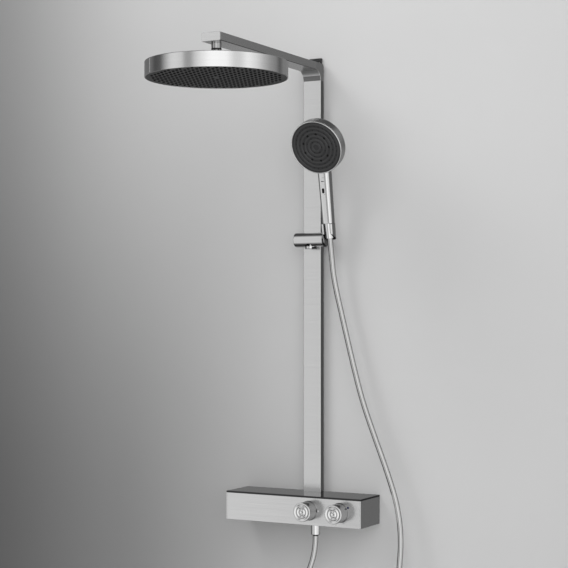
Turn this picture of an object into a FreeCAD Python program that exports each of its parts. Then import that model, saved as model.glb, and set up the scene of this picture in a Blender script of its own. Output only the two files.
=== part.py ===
import FreeCAD, Part

import math
import os
import re

import Sketcher

# Exposed shower system: a thermostatic shelf mixer, a flat column with an overhead arm and
# disc, a slider with a cradle, a hand shower and its hose. Millimetres, Z up, the wall is the
# plane Y = 0 and the room is towards -Y. The origin lies on the wall, under the middle of the
# column and at half the height of the shelf.

SIZES = {
    # shelf housing
    "shelf_width": 350,
    "shelf_offset": 11.8,
    "shelf_depth": 101,
    "shelf_height": 66.5,
    "sheet_wall": 2,
    "end_cap_thick": 3,
    "glass_thick": 4,
    "overrun": 5,
    "fit_gap": 0.3,
    "running_gap": 0.06,
    # wall plate and its screw holes
    "plate_margin": 22,
    "plate_thick": 3,
    "rail_depth": 14,
    "rail_thick": 3,
    "screw_inset": 20,
    "screw_rise": 30,
    "screw_radius": 2.5,
    # mixer inside the shelf
    "inlet_span": 150,
    "union_radius": 10.5,
    "union_bore": 7.5,
    "union_length": 24,
    "way_bore": 9.4,
    "union_nut_radius": 17,
    "union_nut_length": 14,
    "filter_wall": 0.8,
    "filter_length": 12,
    "mixer_y": 52,
    "mixer_radius": 18,
    "mixer_end_reach": 22,
    "mixer_knob_reach": 25.5,
    "mixer_bore": 9,
    "inlet_boss_radius": 12,
    "cartridge_boss_radius": 18.5,
    "cartridge_boss_reach": 30,
    "cartridge_radius": 14,
    "cartridge_length": 24,
    "cartridge_neck_radius": 9,
    "cartridge_neck_length": 20,
    "cartridge_nut_length": 6,
    "spindle_radius": 4,
    "spindle_length": 34,
    "gallery_width": 28,
    "gallery_height": 12,
    "feed_bore": 3,
    "foot_height": 5,
    "foot_plug": 10,
    # knobs and marks
    "knob_inset": 52.7,
    "knob_spacing": 79,
    "knob_radius": 21.5,
    "knob_length": 32,
    "knob_edge": 1.2,
    "knob_gap": 0.6,
    "knob_back_depth": 12,
    "knob_wall": 3,
    "ring_relief": 1.4,
    "rosette_radius": 22.6,
    "rosette_thick": 2,
    "mark_radius": 1.2,
    "mark_thick": 0.6,
    "mark_distance": 24.6,
    "cold_mark_angle": 31,
    "stop_width": 6,
    "stop_length": 9,
    "stop_depth": 8,
    "stop_proud": 4.5,
    "stop_travel": 2,
    "stop_from_face": 6,
    # column, elbow and arm
    "column_width": 45,
    "column_depth": 16.5,
    "column_gap": 7,
    "column_wall": 1.6,
    "column_edge": 1,
    "arm_under": 1015.4,
    "arm_depth": 18.2,
    "bend_inner": 21.9,
    "bend_corner": 6,
    "arm_over": 23.1,
    "arm_cap_thick": 3,
    "arm_plug": 8,
    "riser_radius": 5,
    "riser_bore": 4,
    "quarter_turn": 90,
    "bracket_width": 30,
    "bracket_bottom": 950,
    "bracket_top": 1048,
    "bracket_screw_span": 18,
    "bracket_screw_drop": 9,
    # overhead disc
    "head_reach": 453.8,
    "head_radius": 149.7,
    "head_height": 32.6,
    "head_bottom": 941.2,
    "head_wall": 2,
    "head_edge": 1.5,
    "face_recess": 1,
    "spray_plate_thick": 3,
    "mat_thick": 2.5,
    "mat_margin": 6,
    "chamber_thick": 2,
    "chamber_gap": 6,
    "head_screw_ring": 120,
    "head_screw_radius": 2,
    "head_screw_head": 3.6,
    "neck_radius": 10.5,
    "neck_length": 14.4,
    "stud_shank_radius": 8,
    "stud_shank_length": 8,
    "stud_flange_radius": 10,
    "stud_flange_thick": 1.4,
    "trunnion_radius": 2,
    "trunnion_reach": 2,
    "stem_radius": 5.5,
    "stud_bore": 3,
    "ball_radius": 10,
    "ball_drop": 27.4,
    "seat_thick": 3,
    "seat_below": 6,
    "seat_above": 5,
    "collar_radius": 16,
    "collar_above": 9,
    "collar_port": 5,
    "feed_radius": 8,
    "strainer_thick": 2,
    # slider on the column
    "slider_z": 621,
    "slider_offset": 5.5,
    "slider_length": 77,
    "slider_radius": 16.5,
    "slider_wall": 2,
    "slider_dome": 3,
    "carriage_wall": 4,
    "carriage_back": 3.4,
    "carriage_height": 24,
    "carriage_front": 7,
    "pad_thick": 1.2,
    "pad_height": 18,
    "release_radius": 13.5,
    "release_proud": 5,
    "release_stem_radius": 4,
    "release_edge": 1,
    "release_thick": 6,
    "guide_radius": 7.5,
    "guide_drop": 6,
    "guide_thick": 3,
    "end_plug": 6,
    "spring_seat": 0.9,
    "shoe_length": 18,
    "shoe_height": 10,
    "pivot_radius": 4,
    "pivot_length": 16,
    "hub_radius": 14.5,
    "hub_thick": 3.4,
    "yoke_half": 8,
    # cradle and hand shower, in the frame of the leaning handle
    "hand_x": 16,
    "hand_y": 8.8,
    "hand_z": 1,
    "hand_lean_angle": 10.2,
    "sleeve_height": 36,
    "sleeve_radius": 15,
    "sleeve_slot": 16.4,
    "nut_bottom_radius": 9.6,
    "nut_top_radius": 12,
    "nut_seat": 2,
    "nut_length": 34.5,
    "nut_washer_radius": 8,
    "handle_length": 116,
    "handle_width_low": 24.5,
    "handle_depth_low": 24,
    "handle_width_top": 28,
    "handle_depth_top": 27,
    "handle_round": 7,
    "neck_rise": 34,
    "neck_depth": 14,
    "neck_shift": 8,
    "waterway_radius": 5,
    "waterway_bore": 3.5,
    "waterway_rise": 12,
    "hand_head_radius": 62.5,
    "hand_head_thick": 27,
    "hand_head_edge": 3,
    "hand_head_wall": 2,
    "hand_face_rise": 59.7,
    "hand_face_out": 33,
    "hand_face_angle": 15.1,
    "hand_trim_width": 2.2,
    "hand_trim_thick": 3,
    "hand_trim_edge": 0.8,
    "hand_face_recess": 0.5,
    "hand_face_thick": 3,
    "hand_mat_thick": 2,
    "hand_mat_margin": 5,
    "distributor_thick": 4,
    "distributor_margin": 3,
    "select_width": 8,
    "select_length": 40,
    "select_rise": 49.5,
    "select_depth": 4,
    "select_proud": 1.2,
    "select_travel": 1.5,
    "spring_wall": 0.7,
    # outlet and hose
    "outlet_shift": 1.2,
    "outlet_y": 64,
    "outlet_boss_radius": 12,
    "nipple_radius": 8,
    "nipple_bore": 5,
    "nipple_length": 26,
    "hose_nut_radius": 10.6,
    "hose_nut_length": 24,
    "hose_nut_taper": 4,
    "hose_nut_gap": 1.2,
    "washer_thick": 2,
    "hose_radius": 6.3,
}

# Radii of the knob face's steps, from the middle outwards, as shares of the knob's radius:
# between one pair the face stands proud, between the next it lies low.
ring_shares = (0.17, 0.30, 0.46, 0.60, 0.76)
# How far each arc of the hose reaches along the shorter of its two runs.
arc_share = 0.45
# The largest corner radius of the handle's outline, as a share of its width or depth.
corner_share = 0.45
# How nearly an edge has to follow an axis to count as running along it.
straight_share = 0.999
HEAD_SCREWS = 6

# The hose's route from the hand shower's nut to the shelf's outlet, chosen by hand.
HOSE_ROUTE = (
    (60.0, -49.4, 623.6),
    (60.6, -42.5, 585.0),
    (65.0, -40.0, 530.0),
    (88.0, -41.0, 440.0),
    (115.0, -43.0, 338.0),
    (140.5, -45.0, 250.0),
    (173.0, -48.0, 170.0),
    (208.0, -52.0, 88.0),
    (233.0, -55.0, 18.0),
    (244.0, -58.0, -58.0),
    (237.0, -60.0, -142.0),
    (248.0, -63.0, -212.0),
    (268.0, -68.0, -284.0),
    (264.0, -74.0, -344.0),
    (233.0, -79.0, -391.0),
    (184.5, -82.0, -420.0),
    (129.0, -83.0, -427.0),
    (73.5, -82.0, -412.0),
    (26.0, -79.0, -376.0),
    (-2.0, -74.0, -318.0),
    (-9.0, -69.0, -240.0),
    (8.0, -65.5, -160.0),
    (30.3, -64.0, -97.0),
    (30.3, -64.0, -62.45),
)

Vector = FreeCAD.Vector
ALONG = {
    "x": FreeCAD.Rotation(Vector(0, 1, 0), 90),
    "y": FreeCAD.Rotation(Vector(1, 0, 0), -90),
    "-y": FreeCAD.Rotation(Vector(1, 0, 0), 90),
    "z": FreeCAD.Rotation(),
    "-z": FreeCAD.Rotation(Vector(1, 0, 0), 180),
}

# Places that several pieces share, worked out from the sizes.
LEFT = "(-shelf_offset - shelf_width / 2)"
RIGHT = "(shelf_width / 2 - shelf_offset)"
BOTTOM = "(-shelf_height / 2)"
UNDER_GLASS = "(shelf_height / 2 - glass_thick)"
PLATE_WIDTH = "(shelf_width - 2 * end_cap_thick - 2 * plate_margin)"
MIXER_LEFT = "(-inlet_span / 2 - mixer_end_reach)"
MIXER_RIGHT = f"({RIGHT} - knob_inset + mixer_knob_reach)"
FOOT_BOTTOM = f"({UNDER_GLASS} - foot_height)"
COLUMN_FRONT = "(column_gap + column_depth)"
COLUMN_MIDDLE = "(column_gap + column_depth / 2)"
BEND_Y = f"(-{COLUMN_FRONT} - bend_inner)"
BEND_Z = "(arm_under - bend_inner)"
BEND_OUTER = "(bend_inner + column_depth)"
RISER_Z = "(arm_under + column_depth / 2)"
ARM_REACH = "(head_reach + arm_over)"
BALL_Z = "(arm_under - ball_drop)"
HEAD_TOP = "(head_bottom + head_height)"
SLIDER_Y = f"(-{COLUMN_FRONT} - slider_radius - fit_gap)"
SLIDER_LEFT = "(slider_offset - slider_length / 2)"
SLIDER_RIGHT = "(slider_offset + slider_length / 2)"
KNOB_BACK = "(-shelf_depth - rosette_thick - knob_gap)"
NUT_TOP = "(nut_seat + nut_length)"
HANDLE_TOP = f"({NUT_TOP} + handle_length)"
SELECT_Z = f"({HANDLE_TOP} - select_rise)"
NIPPLE_SEAT = f"({BOTTOM} - hose_nut_gap - hose_nut_length + 2 * hose_nut_taper)"
KNOBS = {"volume": f"({RIGHT} - knob_inset - knob_spacing)", "temperature": f"({RIGHT} - knob_inset)"}
OUTLET_X = f"({KNOBS['volume']} - outlet_shift)"

doc = FreeCAD.newDocument("exposed_shower_system")
sheet = doc.addObject("Spreadsheet::Sheet", "Sizes")
nodes = []


def fill_sheet():
    for row, (name, number) in enumerate(SIZES.items(), start=1):
        sheet.set(f"A{row}", name)
        sheet.set(f"B{row}", str(number))
        sheet.setAlias(f"B{row}", name)
    doc.recompute()


def full(text):
    """The expression with every size written as a cell of the sheet."""
    return re.sub(r"[a-z_]\w*", lambda w: f"Sizes.{w[0]}" if w[0] in SIZES else w[0], text)


def value(text):
    return float(sheet.evalExpression(full(text)))


def bind(thing, **sizes):
    for name, text in sizes.items():
        thing.setExpression(name, full(text))


def place(thing, at, turn=None):
    """Put a thing at a bound position, turned by a rotation."""
    if turn:
        thing.Placement = FreeCAD.Placement(Vector(), turn)
    for letter, text in zip("xyz", at):
        if text != "0":
            thing.setExpression(f"Placement.Base.{letter}", full(text))
    return thing


def box(size, at):
    thing = doc.addObject("Part::Box", "block")
    bind(thing, Length=size[0], Width=size[1], Height=size[2])
    return place(thing, at)


def rod(radius, length, at, along="z"):
    thing = doc.addObject("Part::Cylinder", "rod")
    bind(thing, Radius=radius, Height=length)
    return place(thing, at, ALONG[along])


def cone(bottom, top, length, at, along="z"):
    thing = doc.addObject("Part::Cone", "cone")
    bind(thing, Radius1=bottom, Radius2=top, Height=length)
    return place(thing, at, ALONG[along])


def ball(radius, at):
    thing = doc.addObject("Part::Sphere", "ball")
    bind(thing, Radius=radius)
    return place(thing, at)


def hexagon(radius, length, at, along="z"):
    thing = doc.addObject("Part::Prism", "hexagon")
    bind(thing, Circumradius=radius, Height=length)
    return place(thing, at, ALONG[along])


def cut(base, *tools):
    for tool in tools:
        thing = doc.addObject("Part::Cut", "cut")
        thing.Base = base
        thing.Tool = tool
        base = thing
    return base


def fuse(*things):
    thing = doc.addObject("Part::MultiFuse", "fused")
    thing.Shapes = list(things)
    return thing


def common(*things):
    thing = doc.addObject("Part::MultiCommon", "common")
    thing.Shapes = list(things)
    return thing


def group(*things):
    """Separate solids that share one node, such as a set of screws."""
    thing = doc.addObject("Part::Compound", "group")
    thing.Links = list(things)
    return thing


def rounded(thing, radius, pick, kind="Part::Fillet"):
    """Round or chamfer the edges that pick chooses."""
    doc.recompute()
    size = value(radius)
    chosen = [n for n, edge in enumerate(thing.Shape.Edges, start=1) if pick(edge)]
    soft = doc.addObject(kind, "softened")
    soft.Base = thing
    soft.Edges = [(n, size, size) for n in chosen]
    return soft


def runs_along(axis):
    """A test for straight edges that follow an axis."""
    def pick(edge):
        if not isinstance(edge.Curve, Part.Line):
            return False
        return abs(edge.Curve.Direction.dot(axis)) > straight_share
    return pick


def outline(body, points):
    """A closed sketch on the body's XZ plane whose corners are bound to the sheet."""
    sketch = body.newObject("Sketcher::SketchObject", "outline")
    plane = next(f for f in body.Origin.OriginFeatures if f.Role == "XZ_Plane")
    sketch.AttachmentSupport = [(plane, "")]
    sketch.MapMode = "FlatFace"
    corners = [Vector(value(x), value(y), 0) for x, y in points]
    count = len(corners)
    for n, corner in enumerate(corners):
        sketch.addGeometry(Part.LineSegment(corner, corners[(n + 1) % count]), False)
    for n in range(count):
        sketch.addConstraint(Sketcher.Constraint("Coincident", n, 2, (n + 1) % count, 1))
    for n, (x, y) in enumerate(points):
        for kind, axis, text in (("DistanceX", -2, x), ("DistanceY", -1, y)):
            if text == "0":
                sketch.addConstraint(Sketcher.Constraint("PointOnObject", n, 1, axis))
                continue
            number = sketch.addConstraint(Sketcher.Constraint(kind, -1, 1, n, 1, value(text)))
            sketch.setExpression(f"Constraints[{number}]", full(text))
    return sketch


def turned(points, at, along="z"):
    """A body turned about its own axis from a half outline of radii and heights."""
    body = doc.addObject("PartDesign::Body", "turned")
    sketch = outline(body, points)
    doc.recompute()
    turn = body.newObject("PartDesign::Revolution", "turn")
    turn.Profile = sketch
    turn.ReferenceAxis = (sketch, ["V_Axis"])
    return place(body, at, ALONG[along])


def node(label, thing):
    thing.Label = label
    nodes.append(thing)
    return thing


def hand_frame():
    """The frame of the leaning handle: its origin, beside the slider, is the cradle sleeve's foot."""
    lean = FreeCAD.Rotation(Vector(1, 0, 0), value("hand_lean_angle"))
    foot = (f"{SLIDER_RIGHT} + hand_x", f"{SLIDER_Y} - hand_y", "slider_z + hand_z")
    return FreeCAD.Placement(Vector(*[value(text) for text in foot]), lean)


def head_frame():
    """The frame of the hand shower's head: the middle of its face, Z towards its back."""
    tip = FreeCAD.Rotation(Vector(1, 0, 0), value("hand_face_angle - quarter_turn"))
    face = Vector(0, value("-hand_face_out"), value(f"{HANDLE_TOP} + hand_face_rise"))
    return hand_frame().multiply(FreeCAD.Placement(face, tip))


def seat(thing, frame, at=("0", "0", "0"), along="z"):
    """Set a piece, or a shape that cuts one, into a leaning frame."""
    spot = FreeCAD.Placement(Vector(*[value(text) for text in at]), ALONG[along])
    thing.Placement = frame.multiply(spot)
    return thing


def notch():
    """The space at the wall that the column needs through the shelf's top."""
    return box(("column_width + 2 * fit_gap", f"{COLUMN_FRONT} + fit_gap + overrun",
                "glass_thick + rail_thick + 2 * overrun"),
               ("-column_width / 2 - fit_gap", f"-{COLUMN_FRONT} - fit_gap",
                f"{UNDER_GLASS} - rail_thick - overrun"))


def shelf():
    inner_width = "shelf_width - 2 * end_cap_thick"
    side_height = "shelf_height - glass_thick"
    front = box((inner_width, "sheet_wall", side_height),
                (f"{LEFT} + end_cap_thick", "-shelf_depth", BOTTOM))
    floor = box((inner_width, "shelf_depth", "sheet_wall"),
                (f"{LEFT} + end_cap_thick", "-shelf_depth", BOTTOM))
    holes = [rod("cartridge_neck_radius + fit_gap", "sheet_wall + 2 * overrun",
                 (x, "-shelf_depth - overrun", "0"), "y") for x in KNOBS.values()]
    outlet = rod("nipple_radius + fit_gap", "sheet_wall + 2 * overrun",
                 (OUTLET_X, "-outlet_y", f"{BOTTOM} - overrun"))
    node("shelf_housing", cut(fuse(front, floor), *holes, outlet))
    for side, start in (("left", LEFT), ("right", f"{RIGHT} - end_cap_thick")):
        node(f"{side}_end_cap", box(("end_cap_thick", "shelf_depth", side_height),
                                    (start, "-shelf_depth", BOTTOM)))
    glass = box(("shelf_width", "shelf_depth", "glass_thick"),
                (LEFT, "-shelf_depth", UNDER_GLASS))
    node("glass_shelf", cut(glass, notch()))


def wall_plate():
    start = f"-shelf_offset - {PLATE_WIDTH} / 2"
    low = f"{BOTTOM} + sheet_wall"
    back = box((PLATE_WIDTH, "plate_thick", f"{UNDER_GLASS} - ({low})"),
               (start, "-plate_thick", low))
    top_rail = box((PLATE_WIDTH, "rail_depth", "rail_thick"),
                   (start, "-rail_depth", f"{UNDER_GLASS} - rail_thick"))
    low_rail = box((PLATE_WIDTH, "rail_depth", "rail_thick"), (start, "-rail_depth", low))
    through = "rail_depth + 2 * overrun"
    inlets = [rod("union_radius + fit_gap", through, (f"{side}inlet_span / 2", "overrun", "0"),
                  "-y") for side in ("-", "")]
    spots = [(f"{sx} * ({PLATE_WIDTH} / 2 - screw_inset) - shelf_offset", f"{sz} * screw_rise / 2")
             for sx in (-1, 1) for sz in (-1, 1)]
    screw_holes = [rod("screw_radius + fit_gap", through, (x, "overrun", z), "-y")
                   for x, z in spots]
    node("wall_plate", cut(fuse(back, top_rail, low_rail), notch(), *inlets, *screw_holes))


def mixer():
    nut_start = "union_nut_length - union_length"
    sides = ("-inlet_span / 2", "inlet_span / 2")
    node("inlet_unions", group(*[
        cut(rod("union_radius", "union_length", (x, "0", "0"), "-y"),
            rod("union_bore", "union_length + 2 * overrun", (x, "overrun", "0"), "-y"))
        for x in sides]))
    node("union_nuts", group(*[
        cut(hexagon("union_nut_radius", "union_nut_length", (x, nut_start, "0"), "-y"),
            rod("union_radius", "union_nut_length + 2 * overrun",
                (x, f"{nut_start} + overrun", "0"), "-y")) for x in sides]))
    node("inlet_filters", group(*[
        turned([("way_bore - filter_wall", "0"), ("way_bore", "0"), ("way_bore", "filter_length"),
                ("way_bore - filter_wall", "filter_length")],
               (x, "-union_length", "0"), "-y") for x in sides]))

    bar = rod("mixer_radius", f"{MIXER_RIGHT} - {MIXER_LEFT}", (MIXER_LEFT, "-mixer_y", "0"), "x")
    inlet_bosses = [rod("inlet_boss_radius", "mixer_y - union_length", (x, "-union_length", "0"),
                        "-y") for x in sides]
    fronts = [rod("cartridge_boss_radius", "cartridge_boss_reach", (x, "-mixer_y", "0"), "-y")
              for x in KNOBS.values()]
    outlet = rod("outlet_boss_radius", f"-{BOTTOM} - sheet_wall",
                 (OUTLET_X, "-outlet_y", f"{BOTTOM} + sheet_wall"))
    gallery = box(("gallery_width", "mixer_y - column_gap", "gallery_height"),
                  ("-gallery_width / 2", "-mixer_y", f"{FOOT_BOTTOM} - gallery_height"))
    water = rod("mixer_bore", f"{MIXER_RIGHT} - {MIXER_LEFT} - 2 * overrun",
                (f"{MIXER_LEFT} + overrun", "-mixer_y", "0"), "x")
    ways = [rod("way_bore", "mixer_y - union_length + overrun",
                (x, "overrun - union_length", "0"), "-y") for x in sides]
    pockets = [rod("cartridge_radius", "cartridge_length + overrun",
                   (x, "cartridge_length - mixer_y - cartridge_boss_reach", "0"), "-y")
               for x in KNOBS.values()]
    down = rod("nipple_radius", f"-{BOTTOM} + overrun",
               (OUTLET_X, "-outlet_y", f"{BOTTOM} - overrun"))
    up = rod("riser_bore", "gallery_height + overrun",
             ("0", f"-{COLUMN_MIDDLE}", f"{FOOT_BOTTOM} - gallery_height + mixer_bore / 2"))
    feed = rod("feed_bore", f"mixer_y - {COLUMN_MIDDLE}",
               ("0", f"-{COLUMN_MIDDLE}", f"{FOOT_BOTTOM} - gallery_height / 2"), "-y")
    node("mixer_body", cut(fuse(bar, *inlet_bosses, *fronts, outlet, gallery),
                           fuse(water, *ways, *pockets, down), up, feed))
    node("outlet_nipple",
         turned([("nipple_bore", "0"), ("nipple_radius", "0"), ("nipple_radius", "nipple_length"),
                 ("nipple_bore", "nipple_length")],
                (OUTLET_X, "-outlet_y",
                 f"{NIPPLE_SEAT} + washer_thick")))
    node("outlet_washer", cut(
        rod("nipple_radius", "washer_thick", (OUTLET_X, "-outlet_y", NIPPLE_SEAT)),
        rod("nipple_bore", "washer_thick", (OUTLET_X, "-outlet_y", NIPPLE_SEAT))))


def cartridges():
    face = "-mixer_y - cartridge_boss_reach"
    bore = "spindle_radius + running_gap"
    for name, x in (("diverter", KNOBS["volume"]), ("thermostatic", KNOBS["temperature"])):
        full_length = "cartridge_length + cartridge_neck_length"
        node(f"{name}_cartridge",
             turned([("0", "0"), ("cartridge_radius", "0"),
                     ("cartridge_radius", "cartridge_length"),
                     ("cartridge_neck_radius", "cartridge_length"),
                     ("cartridge_neck_radius", full_length), (bore, full_length),
                     (bore, "cartridge_length / 2"), ("0", "cartridge_length / 2")],
                    (x, f"{face} + cartridge_length", "0"), "-y"))
    node("cartridge_nuts", group(*[
        turned([("cartridge_neck_radius", "0"), ("cartridge_boss_radius", "0"),
                ("cartridge_boss_radius", "cartridge_nut_length"),
                ("cartridge_neck_radius", "cartridge_nut_length")], (x, face, "0"), "-y")
        for x in KNOBS.values()]))


def knob_profile():
    """Half outline of a knob: hollow at the back, with raised rings on its face."""
    low = "(knob_length - ring_relief)"
    points = [("0", "knob_back_depth"), ("knob_radius - knob_wall", "knob_back_depth"),
              ("knob_radius - knob_wall", "0"), ("knob_radius", "0"),
              ("knob_radius", "knob_length - knob_edge"),
              ("knob_radius - knob_edge", "knob_length")]
    proud = True
    for share in reversed(ring_shares):
        radius = f"knob_radius * {share}"
        heights = ("knob_length", low) if proud else (low, "knob_length")
        points += [(radius, heights[0]), (radius, heights[1])]
        proud = not proud
    return points + [("0", "knob_length" if proud else low)]


def knobs():
    spindle_start = f"{KNOB_BACK} - knob_back_depth - knob_wall + spindle_length"
    neck = "cartridge_neck_radius + fit_gap"
    node("knob_rosettes", group(*[
        turned([(neck, "0"), ("rosette_radius", "0"), ("rosette_radius", "rosette_thick / 2"),
                ("rosette_radius - rosette_thick / 2", "rosette_thick"),
                (neck, "rosette_thick")], (x, "-shelf_depth", "0"), "-y")
        for x in KNOBS.values()]))
    for name, x in KNOBS.items():
        node(f"{name}_spindle", rod("spindle_radius", "spindle_length",
                                    (x, spindle_start, "0"), "-y"))
        knob = turned(knob_profile(), (x, KNOB_BACK, "0"), "-y")
        socket = rod("spindle_radius", "knob_wall", (x, f"{KNOB_BACK} - knob_back_depth", "0"),
                     "-y")
        if name == "temperature":
            knob = cut(knob, stop_pocket(x))
        node(f"{name}_knob", cut(knob, socket))
    stop_button(KNOBS["temperature"])
    for name, x, angle in (("volume", KNOBS["volume"], "0"),
                           ("cold", KNOBS["temperature"], "cold_mark_angle")):
        node(f"{name}_mark", rod("mark_radius", "mark_thick",
                                 (f"{x} + mark_distance * cos({angle})", "-shelf_depth",
                                  f"mark_distance * sin({angle})"), "-y"))


def stop_pocket(x):
    return box(("stop_width + 2 * fit_gap", "stop_length + 2 * fit_gap", "stop_depth + overrun"),
               (f"{x} - stop_width / 2 - fit_gap",
                f"{KNOB_BACK} - knob_length + stop_from_face - fit_gap",
                "-knob_radius - overrun"))


def stop_button(x):
    """The sprung safety stop in the temperature knob's underside."""
    spring_top = "-knob_radius + stop_depth"
    button_height = "stop_depth + stop_proud - 2 * stop_travel"
    y = f"{KNOB_BACK} - knob_length + stop_from_face"
    node("stop_button", box(("stop_width", "stop_length", button_height),
                            (f"{x} - stop_width / 2", y, "-knob_radius - stop_proud")))
    height = "2 * stop_travel"
    at = (x, f"{y} + stop_length / 2", f"{spring_top} - {height}")
    node("stop_spring", cut(rod("stop_width / 2 - spring_wall", height, at),
                            rod("stop_width / 2 - 2 * spring_wall", height, at)))


def column():
    length = f"{BEND_Z} - {UNDER_GLASS}"
    at = ("-column_width / 2", f"-{COLUMN_FRONT}", UNDER_GLASS)
    solid = box(("column_width", "column_depth", length), at)
    solid = rounded(solid, "column_edge", runs_along(Vector(0, 0, 1)))
    hollow = box(("column_width - 2 * column_wall", "column_depth - 2 * column_wall", length),
                 ("-column_width / 2 + column_wall", f"-{COLUMN_FRONT} + column_wall",
                  UNDER_GLASS))
    node("column_profile", cut(solid, hollow))
    base = box(("column_width", "column_depth", "foot_height"),
               ("-column_width / 2", f"-{COLUMN_FRONT}", FOOT_BOTTOM))
    plug = box(("column_width - 2 * column_wall", "column_depth - 2 * column_wall",
                "foot_height + foot_plug"),
               ("-column_width / 2 + column_wall", f"-{COLUMN_FRONT} + column_wall",
                FOOT_BOTTOM))
    way = rod("riser_radius", "foot_height + foot_plug + 2 * overrun",
              ("0", f"-{COLUMN_MIDDLE}", f"{FOOT_BOTTOM} - overrun"))
    node("column_foot", cut(fuse(base, plug), way))


def bend(inner, outer, width):
    """A quarter of a ring round the elbow's centre, as wide as given."""
    at = (f"-({width}) / 2", BEND_Y, BEND_Z)
    ring = cut(rod(outer, width, at, "x"), rod(inner, width, at, "x"))
    return common(ring, box((width, outer, outer), at))


def arm():
    block = box(("column_width", BEND_OUTER, "bend_inner + arm_depth"),
                ("-column_width / 2", BEND_Y, BEND_Z))
    along_x = runs_along(Vector(1, 0, 0))
    middle_y = value(f"-{COLUMN_MIDDLE}")
    middle_z = value("arm_under")
    block = rounded(block, "bend_corner", lambda edge: along_x(edge)
                    and edge.CenterOfMass.y > middle_y and edge.CenterOfMass.z > middle_z)
    whole = cut(block, rod("bend_inner", "column_width + 2 * overrun",
                           ("-column_width / 2 - overrun", BEND_Y, BEND_Z), "x"))
    whole = rounded(whole, "column_edge", lambda edge: isinstance(edge.Curve, Part.Circle))
    hollow = bend("bend_inner + column_wall", f"{BEND_OUTER} - column_wall",
                  "column_width - 2 * column_wall")
    node("elbow", cut(whole, hollow))

    length = f"{ARM_REACH} - arm_cap_thick + {BEND_Y}"
    start = f"-{ARM_REACH} + arm_cap_thick"
    solid = box(("column_width", length, "arm_depth"),
                ("-column_width / 2", start, "arm_under"))
    solid = rounded(solid, "column_edge", runs_along(Vector(0, 1, 0)))
    inside = ("column_width - 2 * column_wall", length, "arm_depth - 2 * column_wall")
    hollow = box(inside, ("-column_width / 2 + column_wall", start, "arm_under + column_wall"))
    hole = rod("stud_shank_radius + running_gap", "column_wall + 2 * overrun",
               ("0", "-head_reach", "arm_under - overrun"))
    node("arm_profile", cut(solid, hollow, hole))
    cap = box(("column_width", "arm_cap_thick", "arm_depth"),
              ("-column_width / 2", f"-{ARM_REACH}", "arm_under"))
    cap = rounded(cap, "column_edge", runs_along(Vector(0, 1, 0)))
    plug = box((inside[0], "arm_plug", inside[2]),
               ("-column_width / 2 + column_wall", f"-{ARM_REACH}", "arm_under + column_wall"))
    node("arm_end_cap", fuse(cap, plug))
    node("riser_tube", cut(riser("riser_radius"), riser("riser_bore")))


def riser(radius):
    """The water's way up the column, round the elbow and out along the arm."""
    radius_mid = "(bend_inner + column_depth / 2)"
    up = rod(radius, f"{BEND_Z} - {FOOT_BOTTOM}", ("0", f"-{COLUMN_MIDDLE}", FOOT_BOTTOM))
    curve = doc.addObject("Part::Torus", "curve")
    bind(curve, Radius1=radius_mid, Radius2=radius, Angle3="quarter_turn")
    place(curve, ("0", BEND_Y, BEND_Z), FreeCAD.Rotation(Vector(0, 1, 0), Vector(0, 0, 1),
                                                         Vector(1, 0, 0), "XYZ"))
    out = rod(radius, f"head_reach - stud_shank_radius - fit_gap + {BEND_Y}",
              ("0", BEND_Y, RISER_Z), "-y")
    return fuse(up, curve, out)


def upper_bracket():
    block = box(("bracket_width", "column_gap", "bracket_top - bracket_bottom"),
                ("-bracket_width / 2", "-column_gap", "bracket_bottom"))
    spots = [f"{side}bracket_screw_span / 2" for side in ("-", "")]
    z = "bracket_top - bracket_screw_drop"
    holes = [rod("screw_radius + fit_gap", "column_gap + 2 * overrun", (x, "overrun", z), "-y")
             for x in spots]
    node("upper_wall_bracket", cut(block, *holes))


def ball_joint():
    centre = ("0", "-head_reach", BALL_Z)
    stem = rod("stem_radius", "ball_drop - neck_length", centre)
    neck = rod("neck_radius", "neck_length - running_gap",
               ("0", "-head_reach", "arm_under - neck_length"))
    shank = rod("stud_shank_radius", "stud_shank_length + running_gap",
                ("0", "-head_reach", "arm_under - running_gap"))
    flange = rod("stud_flange_radius", "stud_flange_thick",
                 ("0", "-head_reach", "arm_under + column_wall"))
    half = "(ball_radius + trunnion_reach)"
    pin_at = (f"-{half}", "-head_reach", BALL_Z)
    pins = rod("trunnion_radius", f"2 * {half}", pin_at, "x")
    bore = rod("stud_bore", "2 * ball_drop + stud_shank_length",
               ("0", "-head_reach", f"{BALL_Z} - ball_drop"))
    node("ball_stud", cut(fuse(ball("ball_radius", centre), pins, stem, neck, shank,
                               flange), bore))
    inner = "ball_radius + running_gap"
    outer = "ball_radius + seat_thick"
    band = rod(outer, "seat_below + seat_above", ("0", "-head_reach", f"{BALL_Z} - seat_below"))
    pin_hole = rod("trunnion_radius + running_gap", f"2 * ({outer})", (f"-({outer})", *pin_at[1:]), "x")
    node("ball_seat", cut(common(ball(outer, centre), band), ball(inner, centre), pin_hole))
    collar = rod("collar_radius", f"{BALL_Z} + collar_above - {HEAD_TOP}",
                 ("0", "-head_reach", HEAD_TOP))
    cavity = ball(outer, centre)
    port = rod("collar_port", "ball_drop", ("0", "-head_reach", f"{HEAD_TOP} - overrun"))
    node("swivel_collar", cut(collar, cavity, port))


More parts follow.
